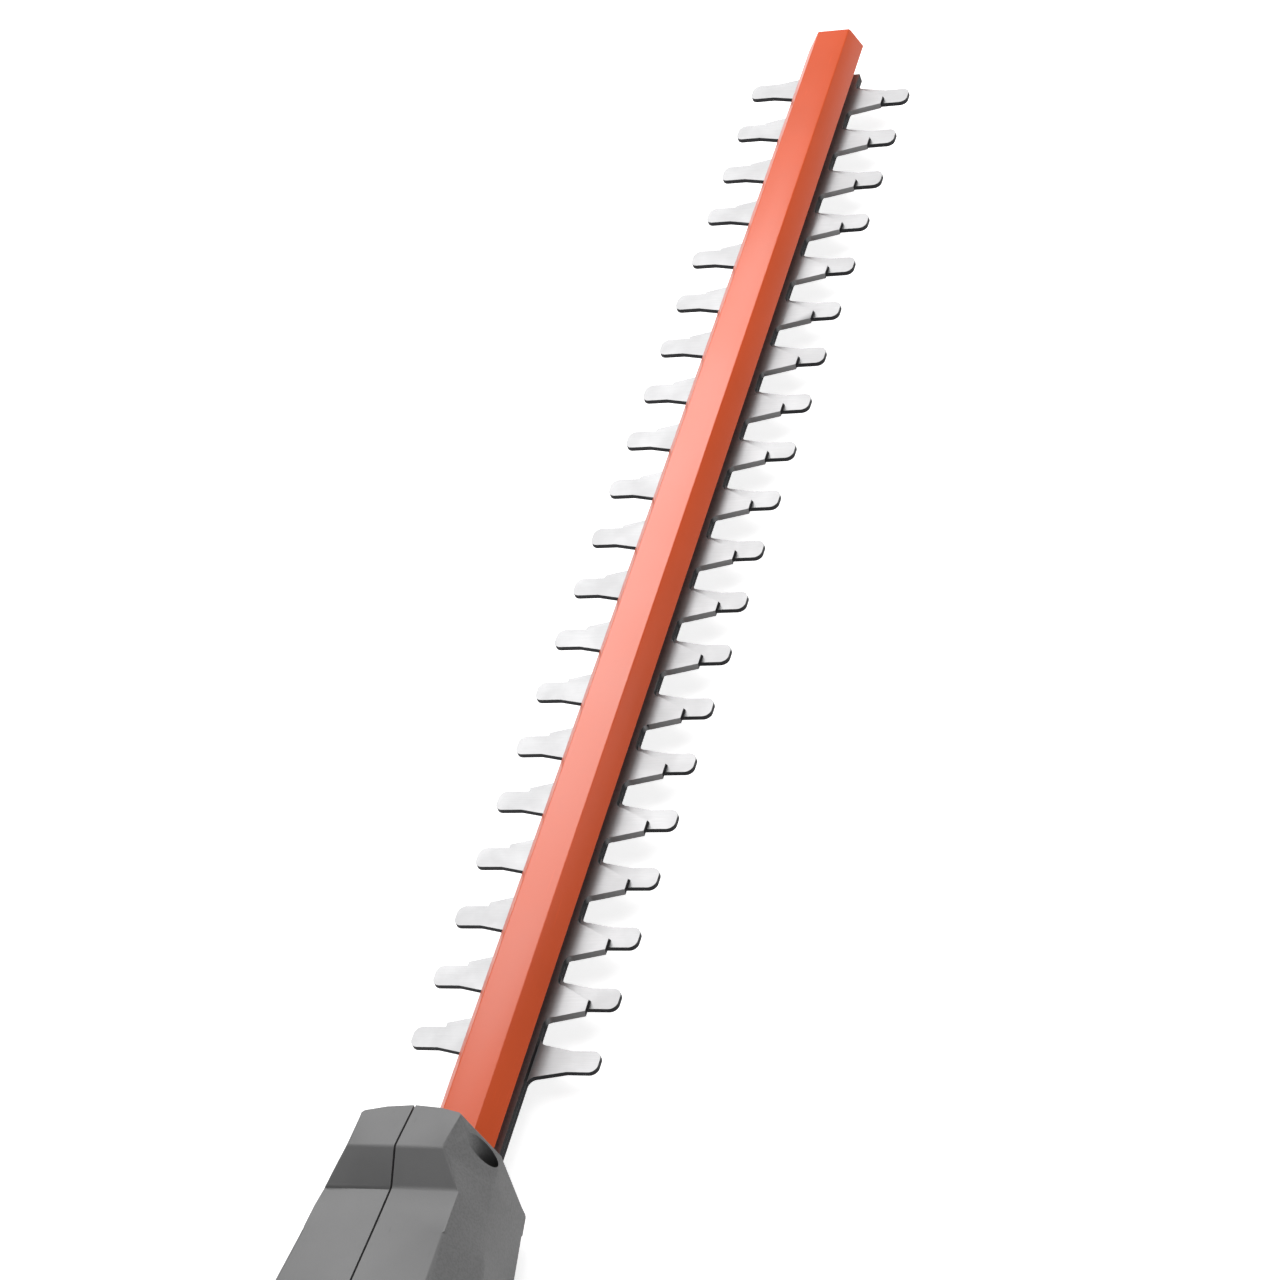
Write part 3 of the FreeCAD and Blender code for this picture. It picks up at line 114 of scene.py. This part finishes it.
class TrimmerColours(bpy.types.PropertyGroup):
    housing: tint("Housing", (0.165, 0.165, 0.166), "Moulded grey of the housing")
    cover: tint("Cover", (0.80, 0.092, 0.009), "Orange of the blade cover")
    steel: tint("Blade steel", (0.47, 0.47, 0.475), "Ground steel of the blades")
    bar: tint("Support bar", (0.012, 0.012, 0.014), "Black of the support bar")
    button: tint("Buttons", (0.74, 0.085, 0.010), "Orange of the trigger and buttons")
    black: tint("Black plastic", (0.016, 0.016, 0.018), "Black of the guard and the battery")
    handle: tint("Front handle", (0.050, 0.050, 0.053), "Dark grey of the front handle")
    soft: tint("Soft grip", (0.018, 0.018, 0.020), "Soft black of the grips")


def sizes():
    return bpy.context.scene.trimmer_sizes


def colours():
    return bpy.context.scene.trimmer_colours


# ------------------------------------------------------------------ shared effects
def effect_group(name, inputs, outputs):
    """An empty shader group: inputs are (name, default), outputs are (name, socket type)."""
    group = bpy.data.node_groups.new(name, "ShaderNodeTree")
    for label, default in inputs:
        kind = "NodeSocketVector" if isinstance(default, tuple) else "NodeSocketFloat"
        socket = group.interface.new_socket(name=label, in_out="INPUT", socket_type=kind)
        socket.default_value = default
    for label, kind in outputs:
        group.interface.new_socket(name=label, in_out="OUTPUT", socket_type=kind)
    return group


class Wiring:
    """Adds and joins the nodes of one tree."""

    def __init__(self, tree):
        self.tree = tree
        self.tree.nodes.clear()

    def add(self, kind, settings=None, **links):
        node = self.tree.nodes.new(kind)
        for key, value in (settings or {}).items():
            setattr(node, key, value)
        for key, value in links.items():
            label = key.replace("__", " ").strip("_")
            socket = node.inputs[int(label)] if label.isdigit() else node.inputs[label]
            self.feed(socket, value)
        return node

    def feed(self, socket, value):
        if isinstance(value, bpy.types.NodeSocket):
            self.tree.links.new(value, socket)
        else:
            socket.default_value = value

    def math(self, operation, first, second=0.0, clamp=False):
        node = self.add("ShaderNodeMath", {"operation": operation, "use_clamp": clamp})
        self.feed(node.inputs[0], first)
        self.feed(node.inputs[1], second)
        return node.outputs[0]

    def between(self, value, low, high, to_low=0.0, to_high=1.0):
        node = self.add("ShaderNodeMapRange", {"interpolation_type": "SMOOTHSTEP"})
        for socket, item in zip(node.inputs[:5], (value, low, high, to_low, to_high)):
            self.feed(socket, item)
        return node.outputs[0]

    def blend(self, factor, first, second):
        node = self.add("ShaderNodeMix", {"data_type": "RGBA"})
        self.feed(node.inputs["Factor"], factor)
        self.feed(node.inputs[6], first)
        self.feed(node.inputs[7], second)
        return node.outputs[2]

    def place(self):
        return self.add("ShaderNodeTexCoord").outputs["Object"]

    def noise(self, scale, detail=2.0, rough=0.5, vector=None):
        node = self.add("ShaderNodeTexNoise", Scale=scale, Detail=detail, Roughness=rough)
        self.feed(node.inputs["Vector"], vector or self.place())
        return node.outputs["Fac"]


def make_grain_group():
    """Moulded or cast grain: small soft bumps with pits between them."""
    group = effect_group("Moulded Grain", [("Scale", 2400.0)], [("Height", "NodeSocketFloat")])
    net = Wiring(group)
    start = net.add("NodeGroupInput")
    end = net.add("NodeGroupOutput")
    place = net.place()
    cells = net.add("ShaderNodeTexVoronoi", {"feature": "SMOOTH_F1"}, Scale=start.outputs["Scale"])
    net.feed(cells.inputs["Vector"], place)
    fine = net.noise(start.outputs["Scale"], 3.0, 0.6, place)
    mixed = net.math("ADD", net.math("MULTIPLY", cells.outputs["Distance"], 0.7), fine)
    net.feed(end.inputs["Height"], mixed)
    return group


def make_streak_group():
    """Grinding or drawing marks: noise stretched by the given scales along each axis."""
    group = effect_group("Grinding Marks", [("Stretch", (3000.0, 60.0, 3000.0))],
                         [("Streaks", "NodeSocketFloat")])
    net = Wiring(group)
    start = net.add("NodeGroupInput")
    end = net.add("NodeGroupOutput")
    moved = net.add("ShaderNodeVectorMath", {"operation": "MULTIPLY"})
    net.feed(moved.inputs[0], net.place())
    net.feed(moved.inputs[1], start.outputs["Stretch"])
    net.feed(end.inputs["Streaks"], net.noise(1.0, 4.0, 0.65, moved.outputs[0]))
    return group


def make_wear_group():
    """Where edges are rubbed: the turn of the surface within a radius, broken up by noise."""
    group = effect_group("Rubbed Edges", [("Radius", 0.001), ("Breakup", 260.0)],
                         [("Mask", "NodeSocketFloat")])
    net = Wiring(group)
    start = net.add("NodeGroupInput")
    end = net.add("NodeGroupOutput")
    soft = net.add("ShaderNodeBevel", {"samples": 6}, Radius=start.outputs["Radius"])
    turn = net.add("ShaderNodeVectorMath", {"operation": "DOT_PRODUCT"})
    net.feed(turn.inputs[0], soft.outputs[0])
    net.feed(turn.inputs[1], net.add("ShaderNodeNewGeometry").outputs["Normal"])
    edge = net.between(net.math("SUBTRACT", 1.0, turn.outputs["Value"]), 0.01, 0.12)
    patches = net.between(net.noise(start.outputs["Breakup"], 4.0, 0.6), 0.38, 0.62)
    net.feed(end.inputs["Mask"], net.math("MULTIPLY", edge, patches))
    return group


def make_handling_group():
    """Faint unevenness from handling: broad cloudy patches with fine scratches in them."""
    group = effect_group("Handling Marks", [("Size", 22.0)],
                         [("Patches", "NodeSocketFloat"), ("Scratches", "NodeSocketFloat")])
    net = Wiring(group)
    start = net.add("NodeGroupInput")
    end = net.add("NodeGroupOutput")
    cloud = net.noise(start.outputs["Size"], 5.0, 0.62)
    net.feed(end.inputs["Patches"], net.between(cloud, 0.3, 0.7))
    bent = net.add("ShaderNodeMapping")
    net.feed(bent.inputs["Vector"], net.place())
    net.feed(bent.inputs["Rotation"], (0.3, 0.2, 0.9))
    net.feed(bent.inputs["Scale"], (900.0, 40.0, 900.0))
    lines = net.between(net.noise(1.0, 1.0, 0.5, bent.outputs[0]), 0.66, 0.72)
    net.feed(end.inputs["Scratches"], net.math("MULTIPLY", lines, net.between(cloud, 0.5, 0.6)))
    return group


EFFECTS = {}


def effect(net, name, output, **values):
    """One shared effect placed in a material with its own values."""
    node = net.add("ShaderNodeGroup", {"node_tree": EFFECTS[name]}, **values)
    return node.outputs[output]


# ------------------------------------------------------------------ materials
def darker(colour, share):
    return tuple(part * share for part in colour[:3]) + (1.0,)


def start_material(name, metallic, coat):
    material = bpy.data.materials.new(name)
    material.use_nodes = True
    net = Wiring(material.node_tree)
    shader = net.add("ShaderNodeBsdfPrincipled")
    shader.inputs["Metallic"].default_value = metallic
    shader.inputs["Coat Weight"].default_value = coat
    shader.inputs["Coat Roughness"].default_value = 0.2
    end = net.add("ShaderNodeOutputMaterial")
    net.feed(end.inputs["Surface"], shader.outputs["BSDF"])
    return material, net, shader


def moulded(name, colour, rough, grain=2400.0, depth=0.03, coat=0.0, worn=1.5, side_grain=0.0):
    """A moulded plastic or rubber: grain, faint patches, scratches and paler rubbed edges."""
    material, net, shader = start_material(name, 0.0, coat)
    patches = effect(net, "handling", "Patches", Size=24.0)
    scratches = effect(net, "handling", "Scratches", Size=40.0)
    rubbed = effect(net, "wear", "Mask", Radius=0.0008, Breakup=300.0)
    base = net.blend(patches, darker(colour, 0.93), darker(colour, 1.04))
    base = net.blend(net.math("MULTIPLY", rubbed, 0.45), base, darker(colour, worn))
    height = effect(net, "grain", "Height", Scale=grain)
    strength = depth
    if side_grain:
        facing = net.add("ShaderNodeSeparateXYZ")
        net.feed(facing.inputs[0], net.add("ShaderNodeTexCoord").outputs["Normal"])
        side = net.math("ABSOLUTE", facing.outputs[0])
        chamfer = net.between(side, 0.45, 0.7)
        coarse = net.between(effect(net, "grain", "Height", Scale=grain * 0.55), 0.55, 1.0)
        pitted = net.math("MULTIPLY", chamfer, coarse)
        base = net.blend(net.math("MULTIPLY", pitted, 0.35), base, darker(colour, 1.45))
        height = net.math("ADD", height, net.math("MULTIPLY", pitted, side_grain))
    net.feed(shader.inputs["Base Color"], base)
    uneven = net.math("ADD", net.math("MULTIPLY", patches, 0.08), rough - 0.04)
    net.feed(shader.inputs["Roughness"], net.math("ADD", uneven, net.math("MULTIPLY", scratches, 0.12)))
    bump = net.add("ShaderNodeBump", Strength=strength, Distance=0.0004, Height=height)
    net.feed(shader.inputs["Normal"], bump.outputs[0])
    return material


def painted(name, colour, rough, coat):
    """A satin paint on metal with fine orange peel, faint scratches and bare metal at rubbed edges."""
    material, net, shader = start_material(name, 0.0, coat)
    patches = effect(net, "handling", "Patches", Size=14.0)
    scratches = effect(net, "handling", "Scratches", Size=30.0)
    rubbed = net.math("MULTIPLY", effect(net, "wear", "Mask", Radius=0.0005, Breakup=500.0), 0.5)
    base = net.blend(patches, darker(colour, 0.965), darker(colour, 1.03))
    base = net.blend(net.math("MULTIPLY", scratches, 0.15), base, darker(colour, 1.3))
    base = net.blend(rubbed, base, darker(colour, 1.18))
    net.feed(shader.inputs["Base Color"], base)
    net.feed(shader.inputs["Roughness"], net.math("ADD", net.math("MULTIPLY", patches, 0.07), rough))
    peel = effect(net, "grain", "Height", Scale=1100.0)
    bump = net.add("ShaderNodeBump", Strength=0.018, Distance=0.0003, Height=peel)
    net.feed(shader.inputs["Normal"], bump.outputs[0])
    return material


def ground(name, colour, rough, stretch, depth=0.02, shade=0.75, painted_edge_shade=None):
    """A ground, drawn or cast metal with its marks, faint stains and darker rubbed edges.

    The optional edge colour is a painted shade: a near-black laid on the upright stamped edges of a flat
    blade, which aren't ground, for the dark look these edges take under the lights.
    """
    material, net, shader = start_material(name, 1.0, 0.0)
    streaks = effect(net, "streaks", "Streaks", Stretch=stretch)
    patches = effect(net, "handling", "Patches", Size=60.0)
    rubbed = effect(net, "wear", "Mask", Radius=0.0004, Breakup=700.0)
    base = net.blend(net.between(streaks, 0.35, 0.65), darker(colour, 0.9), darker(colour, 1.0))
    base = net.blend(net.math("MULTIPLY", patches, 0.25), base, darker(colour, 0.92))
    base = net.blend(net.math("MULTIPLY", rubbed, 0.5), base, darker(colour, shade))
    # painted shade: faces that stand upright take the near-black edge colour, fading to the metal as they
    # turn flat
    if painted_edge_shade:
        facing = net.add("ShaderNodeSeparateXYZ")
        net.feed(facing.inputs[0], net.add("ShaderNodeTexCoord").outputs["Normal"])
        flat = net.between(net.math("ABSOLUTE", facing.outputs[2]), 0.15, 0.5)
        base = net.blend(flat, painted_edge_shade, base)
    net.feed(shader.inputs["Base Color"], base)
    uneven = net.math("ADD", net.math("MULTIPLY", streaks, 0.12), rough - 0.06)
    net.feed(shader.inputs["Roughness"], net.math("ADD", uneven, net.math("MULTIPLY", patches, 0.05)))
    bump = net.add("ShaderNodeBump", Strength=depth, Distance=0.0002, Height=streaks)
    net.feed(shader.inputs["Normal"], bump.outputs[0])
    return material


ACROSS = (90.0, 2600.0, 2600.0)
TURNED = (1500.0, 1500.0, 160.0)
EVEN = (1500.0, 1500.0, 1500.0)


def make_materials():
    """Every material of the trimmer, by its slot in the record."""
    tints = colours()
    EFFECTS["grain"] = make_grain_group()
    EFFECTS["streaks"] = make_streak_group()
    EFFECTS["wear"] = make_wear_group()
    EFFECTS["handling"] = make_handling_group()
    return {
        "housing_grey": moulded("Housing Grey", tints.housing, 0.50, 2100.0, 0.05, side_grain=1.6),
        "cover_orange": painted("Cover Orange", tints.cover, 0.30, 0.25),
        "bar_black": painted("Support Bar Black", tints.bar, 0.33, 0.0),
        # the near-black edge colour of the blade steel is painted shade on its upright edges
        "blade_steel": ground("Blade Steel", tints.steel, 0.56, ACROSS, painted_edge_shade=(0.045, 0.045, 0.048, 1.0)),
        "plated_steel": ground("Plated Steel", (0.62, 0.62, 0.60), 0.30, EVEN),
        "cast_aluminium": ground("Cast Aluminium", (0.58, 0.58, 0.59), 0.52, EVEN, 0.12),
        "hard_steel": ground("Hardened Steel", (0.45, 0.45, 0.47), 0.28, TURNED),
        "bronze": ground("Bronze", (0.72, 0.45, 0.22), 0.32, TURNED),
        "motor_steel": ground("Motor Steel", (0.36, 0.36, 0.37), 0.38, TURNED),
        "black_plastic": moulded("Black Plastic", tints.black, 0.46, 1900.0, 0.06, worn=3.0),
        "soft_grip": moulded("Soft Grip", tints.soft, 0.72, 1300.0, 0.10, worn=2.4),
        "dark_grey_plastic": moulded("Handle Grey", tints.handle, 0.48, 2000.0, 0.05, worn=2.0),
        "orange_plastic": moulded("Button Orange", tints.button, 0.34, 2600.0, 0.03, 0.15),
        "lead_rubber": moulded("Lead Insulation", (0.03, 0.03, 0.03), 0.5, 2600.0, 0.03),
        "board_green": moulded("Board Green", (0.015, 0.10, 0.04), 0.3, 3200.0, 0.03, 0.4),
        "cell_can": moulded("Cell Wrap", (0.05, 0.18, 0.30), 0.3, 3000.0, 0.02, 0.2),
    }


MATERIALS = {}


def finish_of(piece, slot):
    piece.data.materials.clear()
    piece.data.materials.append(MATERIALS[slot])


# ------------------------------------------------------------------ modelling helpers
def only(piece):
    """Deselect everything and make this piece the only one worked on."""
    if bpy.context.object and bpy.context.object.mode != "OBJECT":
        bpy.ops.object.mode_set(mode="OBJECT")
    bpy.ops.object.select_all(action="DESELECT")
    piece.hide_set(False)
    piece.select_set(True)
    bpy.context.view_layer.objects.active = piece


def apply(piece, kind, **settings):
    """Add a modifier with its settings and apply it."""
    only(piece)
    modifier = piece.modifiers.new(kind.title(), kind)
    for key, value in settings.items():
        setattr(modifier, key, value)
    bpy.ops.object.modifier_apply(modifier=modifier.name)


SEAM_HALF = 2 * MM  # edges nearer to the middle plane than this belong to the seam
LONG_EDGE = 14 * MM  # a housing edge longer than this is one of its creases or corners
BLADE_BACK = 10 * MM  # the inner corners between the teeth are further out than this
LEAST_UPRIGHT = 1.5 * MM  # an edge through a blade's thickness rises more than this
MOST_SLANT = 0.2 * MM
ROOT_TURN = 20.0
SMOOTH_TURN = 32.0
WELD = 0.002 * MM


def weigh_edges(piece, limit, shortest):
    """Mark the turned edges that are long enough, but for those along the seam."""
    mesh = bmesh.new()
    mesh.from_mesh(piece.data)
    weights = mesh.edges.layers.float.new("bevel_weight_edge")
    for edge in mesh.edges:
        if len(edge.link_faces) != 2 or edge.calc_face_angle(0.0) < limit:
            continue
        middle = (edge.verts[0].co + edge.verts[1].co) / 2
        if edge.calc_length() > shortest and abs(middle.x) > SEAM_HALF:
            edge[weights] = 1.0
    mesh.to_mesh(piece.data)
    mesh.free()


def round_roots(piece, width):
    """Round the inner corners between the teeth of a blade, ahead of its yoke."""
    bpy.ops.object.mode_set(mode="EDIT")
    bpy.ops.mesh.select_mode(type="EDGE")
    bpy.ops.mesh.select_all(action="DESELECT")
    mesh = bmesh.from_edit_mesh(piece.data)
    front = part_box("nose_plate")[1].y
    for edge in mesh.edges:
        first, second = (corner.co for corner in edge.verts)
        upright = abs(first.z - second.z) > LEAST_UPRIGHT and abs(first.x - second.x) < MOST_SLANT
        if upright and min(abs(first.x), abs(second.x)) > BLADE_BACK and first.y > front:
            if not edge.is_convex and edge.calc_face_angle(0.0) > math.radians(ROOT_TURN):
                edge.select_set(True)
    bmesh.update_edit_mesh(piece.data)
    bpy.ops.mesh.bevel(offset=width, segments=5, clamp_overlap=False)
    bpy.ops.object.mode_set(mode="OBJECT")


def soften(node, name, width, segments=2, limit=24.0, flat=0.3, long_only=0.0, roots=0.0):
    """A copy of a CAD node with its corners rounded over, which then stands for it.

    With long_only, only edges longer than it are rounded, and not those along the seam.
    """
    piece = bpy.data.objects.new(name, NODES[node].data.copy())
    bpy.context.scene.collection.objects.link(piece)
    only(piece)
    bpy.ops.object.mode_set(mode="EDIT")
    bpy.ops.mesh.select_all(action="SELECT")
    bpy.ops.mesh.remove_doubles(threshold=WELD)
    bpy.ops.mesh.dissolve_limited(angle_limit=math.radians(flat))
    bpy.ops.object.mode_set(mode="OBJECT")
    if piece.data.has_custom_normals:
        bpy.ops.mesh.customdata_custom_splitnormals_clear()
    if roots:
        round_roots(piece, roots)
    if long_only:
        weigh_edges(piece, math.radians(limit), long_only)
        apply(piece, "BEVEL", width=width, segments=segments, limit_method="WEIGHT",
              use_clamp_overlap=False, miter_outer="MITER_SHARP")
    else:
        apply(piece, "BEVEL", width=width, segments=segments, limit_method="ANGLE",
              angle_limit=math.radians(limit), use_clamp_overlap=True, miter_outer="MITER_SHARP")
    apply(piece, "TRIANGULATE", min_vertices=5)
    only(piece)
    bpy.ops.object.shade_smooth_by_angle(angle=math.radians(SMOOTH_TURN))
    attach(piece, NODES[node]["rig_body"])
    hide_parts(node)
    finish_of(piece, SLOT_OF[node])
    return piece


# ------------------------------------------------------------------ operators
class TRIMMER_OT_stage(bpy.types.Operator):
    """Make the pale floor, the soft lights and the camera"""

    bl_idname = "trimmer.stage"
    bl_label = "Stage"

    def execute(self, context):
        low, high = CAD_BOX
        middle = (low + high) / 2
        bpy.ops.object.select_all(action="DESELECT")
        bpy.ops.mesh.primitive_plane_add(size=14.0, location=(middle.x, middle.y, low.z - 0.2 * MM))
        floor = context.object
        floor.name = "studio_floor"
        material, net, shader = start_material("Floor White", 0.0, 0.0)
        tone = net.blend(net.noise(1.5, 3.0), (0.90, 0.90, 0.90, 1.0), (0.92, 0.92, 0.92, 1.0))
        net.feed(shader.inputs["Base Color"], tone)
        shader.inputs["Roughness"].default_value = 0.85
        shader.inputs["Specular IOR Level"].default_value = 0.1
        shader.inputs["Emission Color"].default_value = (1.0, 1.0, 1.0, 1.0)
        # bright where it is seen, dimmer as a source of light from below
        seen = net.add("ShaderNodeLightPath").outputs["Is Camera Ray"]
        net.feed(shader.inputs["Emission Strength"], net.math("ADD", net.math("MULTIPLY", seen, 0.5), 0.2))
        floor.data.materials.append(material)

        world = bpy.data.worlds.new("Studio")
        world.use_nodes = True
        world.node_tree.nodes["Background"].inputs["Color"].default_value = (1.0, 1.0, 1.0, 1.0)
        world.node_tree.nodes["Background"].inputs["Strength"].default_value = 0.24
        context.scene.world = world
        # each light: its place from the middle, the place that it faces, width, height, power
        lights = {
            "key_softbox": ((-1.05, 1.68, 1.72), (0.0, 0.20, 0.0), 1.5, 1.8, 46.0),
            "overhead_softbox": ((0.10, 0.35, 1.90), (0.0, 0.0, 0.0), 1.3, 1.3, 11.0),
            "right_strip": ((1.70, 1.10, 1.05), (0.0, -0.20, 0.0), 0.5, 1.6, 3.0),
        }
        for name, (place, target, wide, tall, power) in lights.items():
            place = middle + Vector(place)
            bpy.ops.object.light_add(type="AREA", location=place)
            light = context.object
            light.name = name
            light.data.shape = "RECTANGLE"
            light.data.size = wide
            light.data.size_y = tall
            light.data.energy = power
            light.rotation_euler = (place - middle - Vector(target)).to_track_quat("Z", "Y").to_euler()

        right = Vector((0.9209, 0.2487, -0.3001))
        up = Vector((0.0254, 0.7301, 0.6829))
        back = Vector((0.3889, -0.6365, 0.6660))
        camera = bpy.data.objects.new("camera", bpy.data.cameras.new("camera"))
        context.scene.collection.objects.link(camera)
        turn = Matrix((right, up, back)).transposed().to_4x4()
        reach = Vector((0.5689, -0.7500, 0.9009))
        camera.matrix_world = Matrix.Translation(middle + reach) @ turn
        camera.data.sensor_width = 36.0
        camera.data.lens = 106.05
        camera.data.clip_start = 0.05
        context.scene.camera = camera
        context.scene.view_settings.view_transform = "Standard"
        return {"FINISHED"}


class TRIMMER_OT_materials(bpy.types.Operator):
    """Make the materials and give each carried-over piece its own"""

    bl_idname = "trimmer.materials"
    bl_label = "Materials"

    def execute(self, context):
        MATERIALS.update(make_materials())
        for node, piece in NODES.items():
            for holder in piece.material_slots:
                holder.material = MATERIALS[SLOT_OF[node]]
            if not piece.material_slots:
                piece.data.materials.append(MATERIALS[SLOT_OF[node]])
        return {"FINISHED"}


class TRIMMER_OT_blades(bpy.types.Operator):
    """Break the edges of the two toothed blades and their bar, and round the tooth roots"""

    bl_idname = "trimmer.blades"
    bl_label = "Blades"

    def execute(self, context):
        edge = sizes().blade_edge
        soften("upper_blade", "upper_blade_ground", edge, 1, 24.0, roots=sizes().root_round)
        soften("lower_blade", "lower_blade_ground", edge, 1, 24.0, roots=sizes().root_round)
        soften("support_bar", "support_bar_edged", edge * 2, 2)
        return {"FINISHED"}


class TRIMMER_OT_cover(bpy.types.Operator):
    """Round the folds of the long blade cover"""

    bl_idname = "trimmer.cover"
    bl_label = "Cover"

    def execute(self, context):
        soften("blade_cover", "blade_cover_folded", sizes().cover_edge, 3)
        return {"FINISHED"}


class TRIMMER_OT_housing(bpy.types.Operator):
    """Round the corners of the two halves of the moulded housing"""

    bl_idname = "trimmer.housing"
    bl_label = "Housing"

    def execute(self, context):
        for side in ("left", "right"):
            soften(f"{side}_housing", f"{side}_housing_moulded", sizes().housing_edge, 3, 18.0,
                   long_only=LONG_EDGE)
        return {"FINISHED"}


class TRIMMER_OT_handles(bpy.types.Operator):
    """Round the corners of the hand guard, the front handle, its bar and the controls"""

    bl_idname = "trimmer.handles"
    bl_label = "Handles and controls"

    def execute(self, context):
        small = sizes().small_edge
        soften("hand_guard", "hand_guard_moulded", small * 2, 3)
        soften("front_handle", "front_handle_moulded", small, 2, 35.0)
        soften("front_switch_bar", "front_switch_bar_soft", small * 2, 3, 35.0)
        soften("trigger", "trigger_moulded", small * 2, 3)
        soften("lock_off_button", "lock_off_button_moulded", small * 1.5, 3, 40.0)
        soften("left_grip_pad", "left_grip_pad_soft", small, 2)
        soften("right_grip_pad", "right_grip_pad_soft", small, 2)
        return {"FINISHED"}


class TRIMMER_OT_battery(bpy.types.Operator):
    """Round the corners of the battery case and its release button"""

    bl_idname = "trimmer.battery"
    bl_label = "Battery"

    def execute(self, context):
        edge = sizes().battery_edge
        soften("battery_tray", "battery_tray_moulded", edge, 3)
        soften("battery_lid", "battery_lid_moulded", edge * 0.4, 2)
        soften("release_button", "release_button_moulded", sizes().small_edge, 2)
        return {"FINISHED"}


OPERATORS = (
    TRIMMER_OT_stage,
    TRIMMER_OT_materials,
    TRIMMER_OT_blades,
    TRIMMER_OT_cover,
    TRIMMER_OT_housing,
    TRIMMER_OT_handles,
    TRIMMER_OT_battery,
)


class TRIMMER_PT_panel(bpy.types.Panel):
    """Sidebar panel with the trimmer's sizes, colours and build steps"""

    bl_label = "Hedge Trimmer"
    bl_idname = "TRIMMER_PT_panel"
    bl_space_type = "VIEW_3D"
    bl_region_type = "UI"
    bl_category = "Trimmer"

    def draw(self, context):
        layout = self.layout
        for group in (context.scene.trimmer_sizes, context.scene.trimmer_colours):
            box = layout.box()
            for name in group.bl_rna.properties.keys():
                if name not in {"rna_type", "name"}:
                    box.prop(group, name)
        for operator in OPERATORS:
            layout.operator(operator.bl_idname)


CLASSES = (TrimmerSizes, TrimmerColours) + OPERATORS + (TRIMMER_PT_panel,)


def register():
    for item in CLASSES:
        bpy.utils.register_class(item)
    bpy.types.Scene.trimmer_sizes = PointerProperty(type=TrimmerSizes)
    bpy.types.Scene.trimmer_colours = PointerProperty(type=TrimmerColours)


def unregister():
    del bpy.types.Scene.trimmer_colours
    del bpy.types.Scene.trimmer_sizes
    for item in reversed(CLASSES):
        bpy.utils.unregister_class(item)


def main():
    register()
    for operator in OPERATORS:
        group, name = operator.bl_idname.split(".")
        getattr(getattr(bpy.ops, group), name)()


if __name__ == "__main__":
    main()
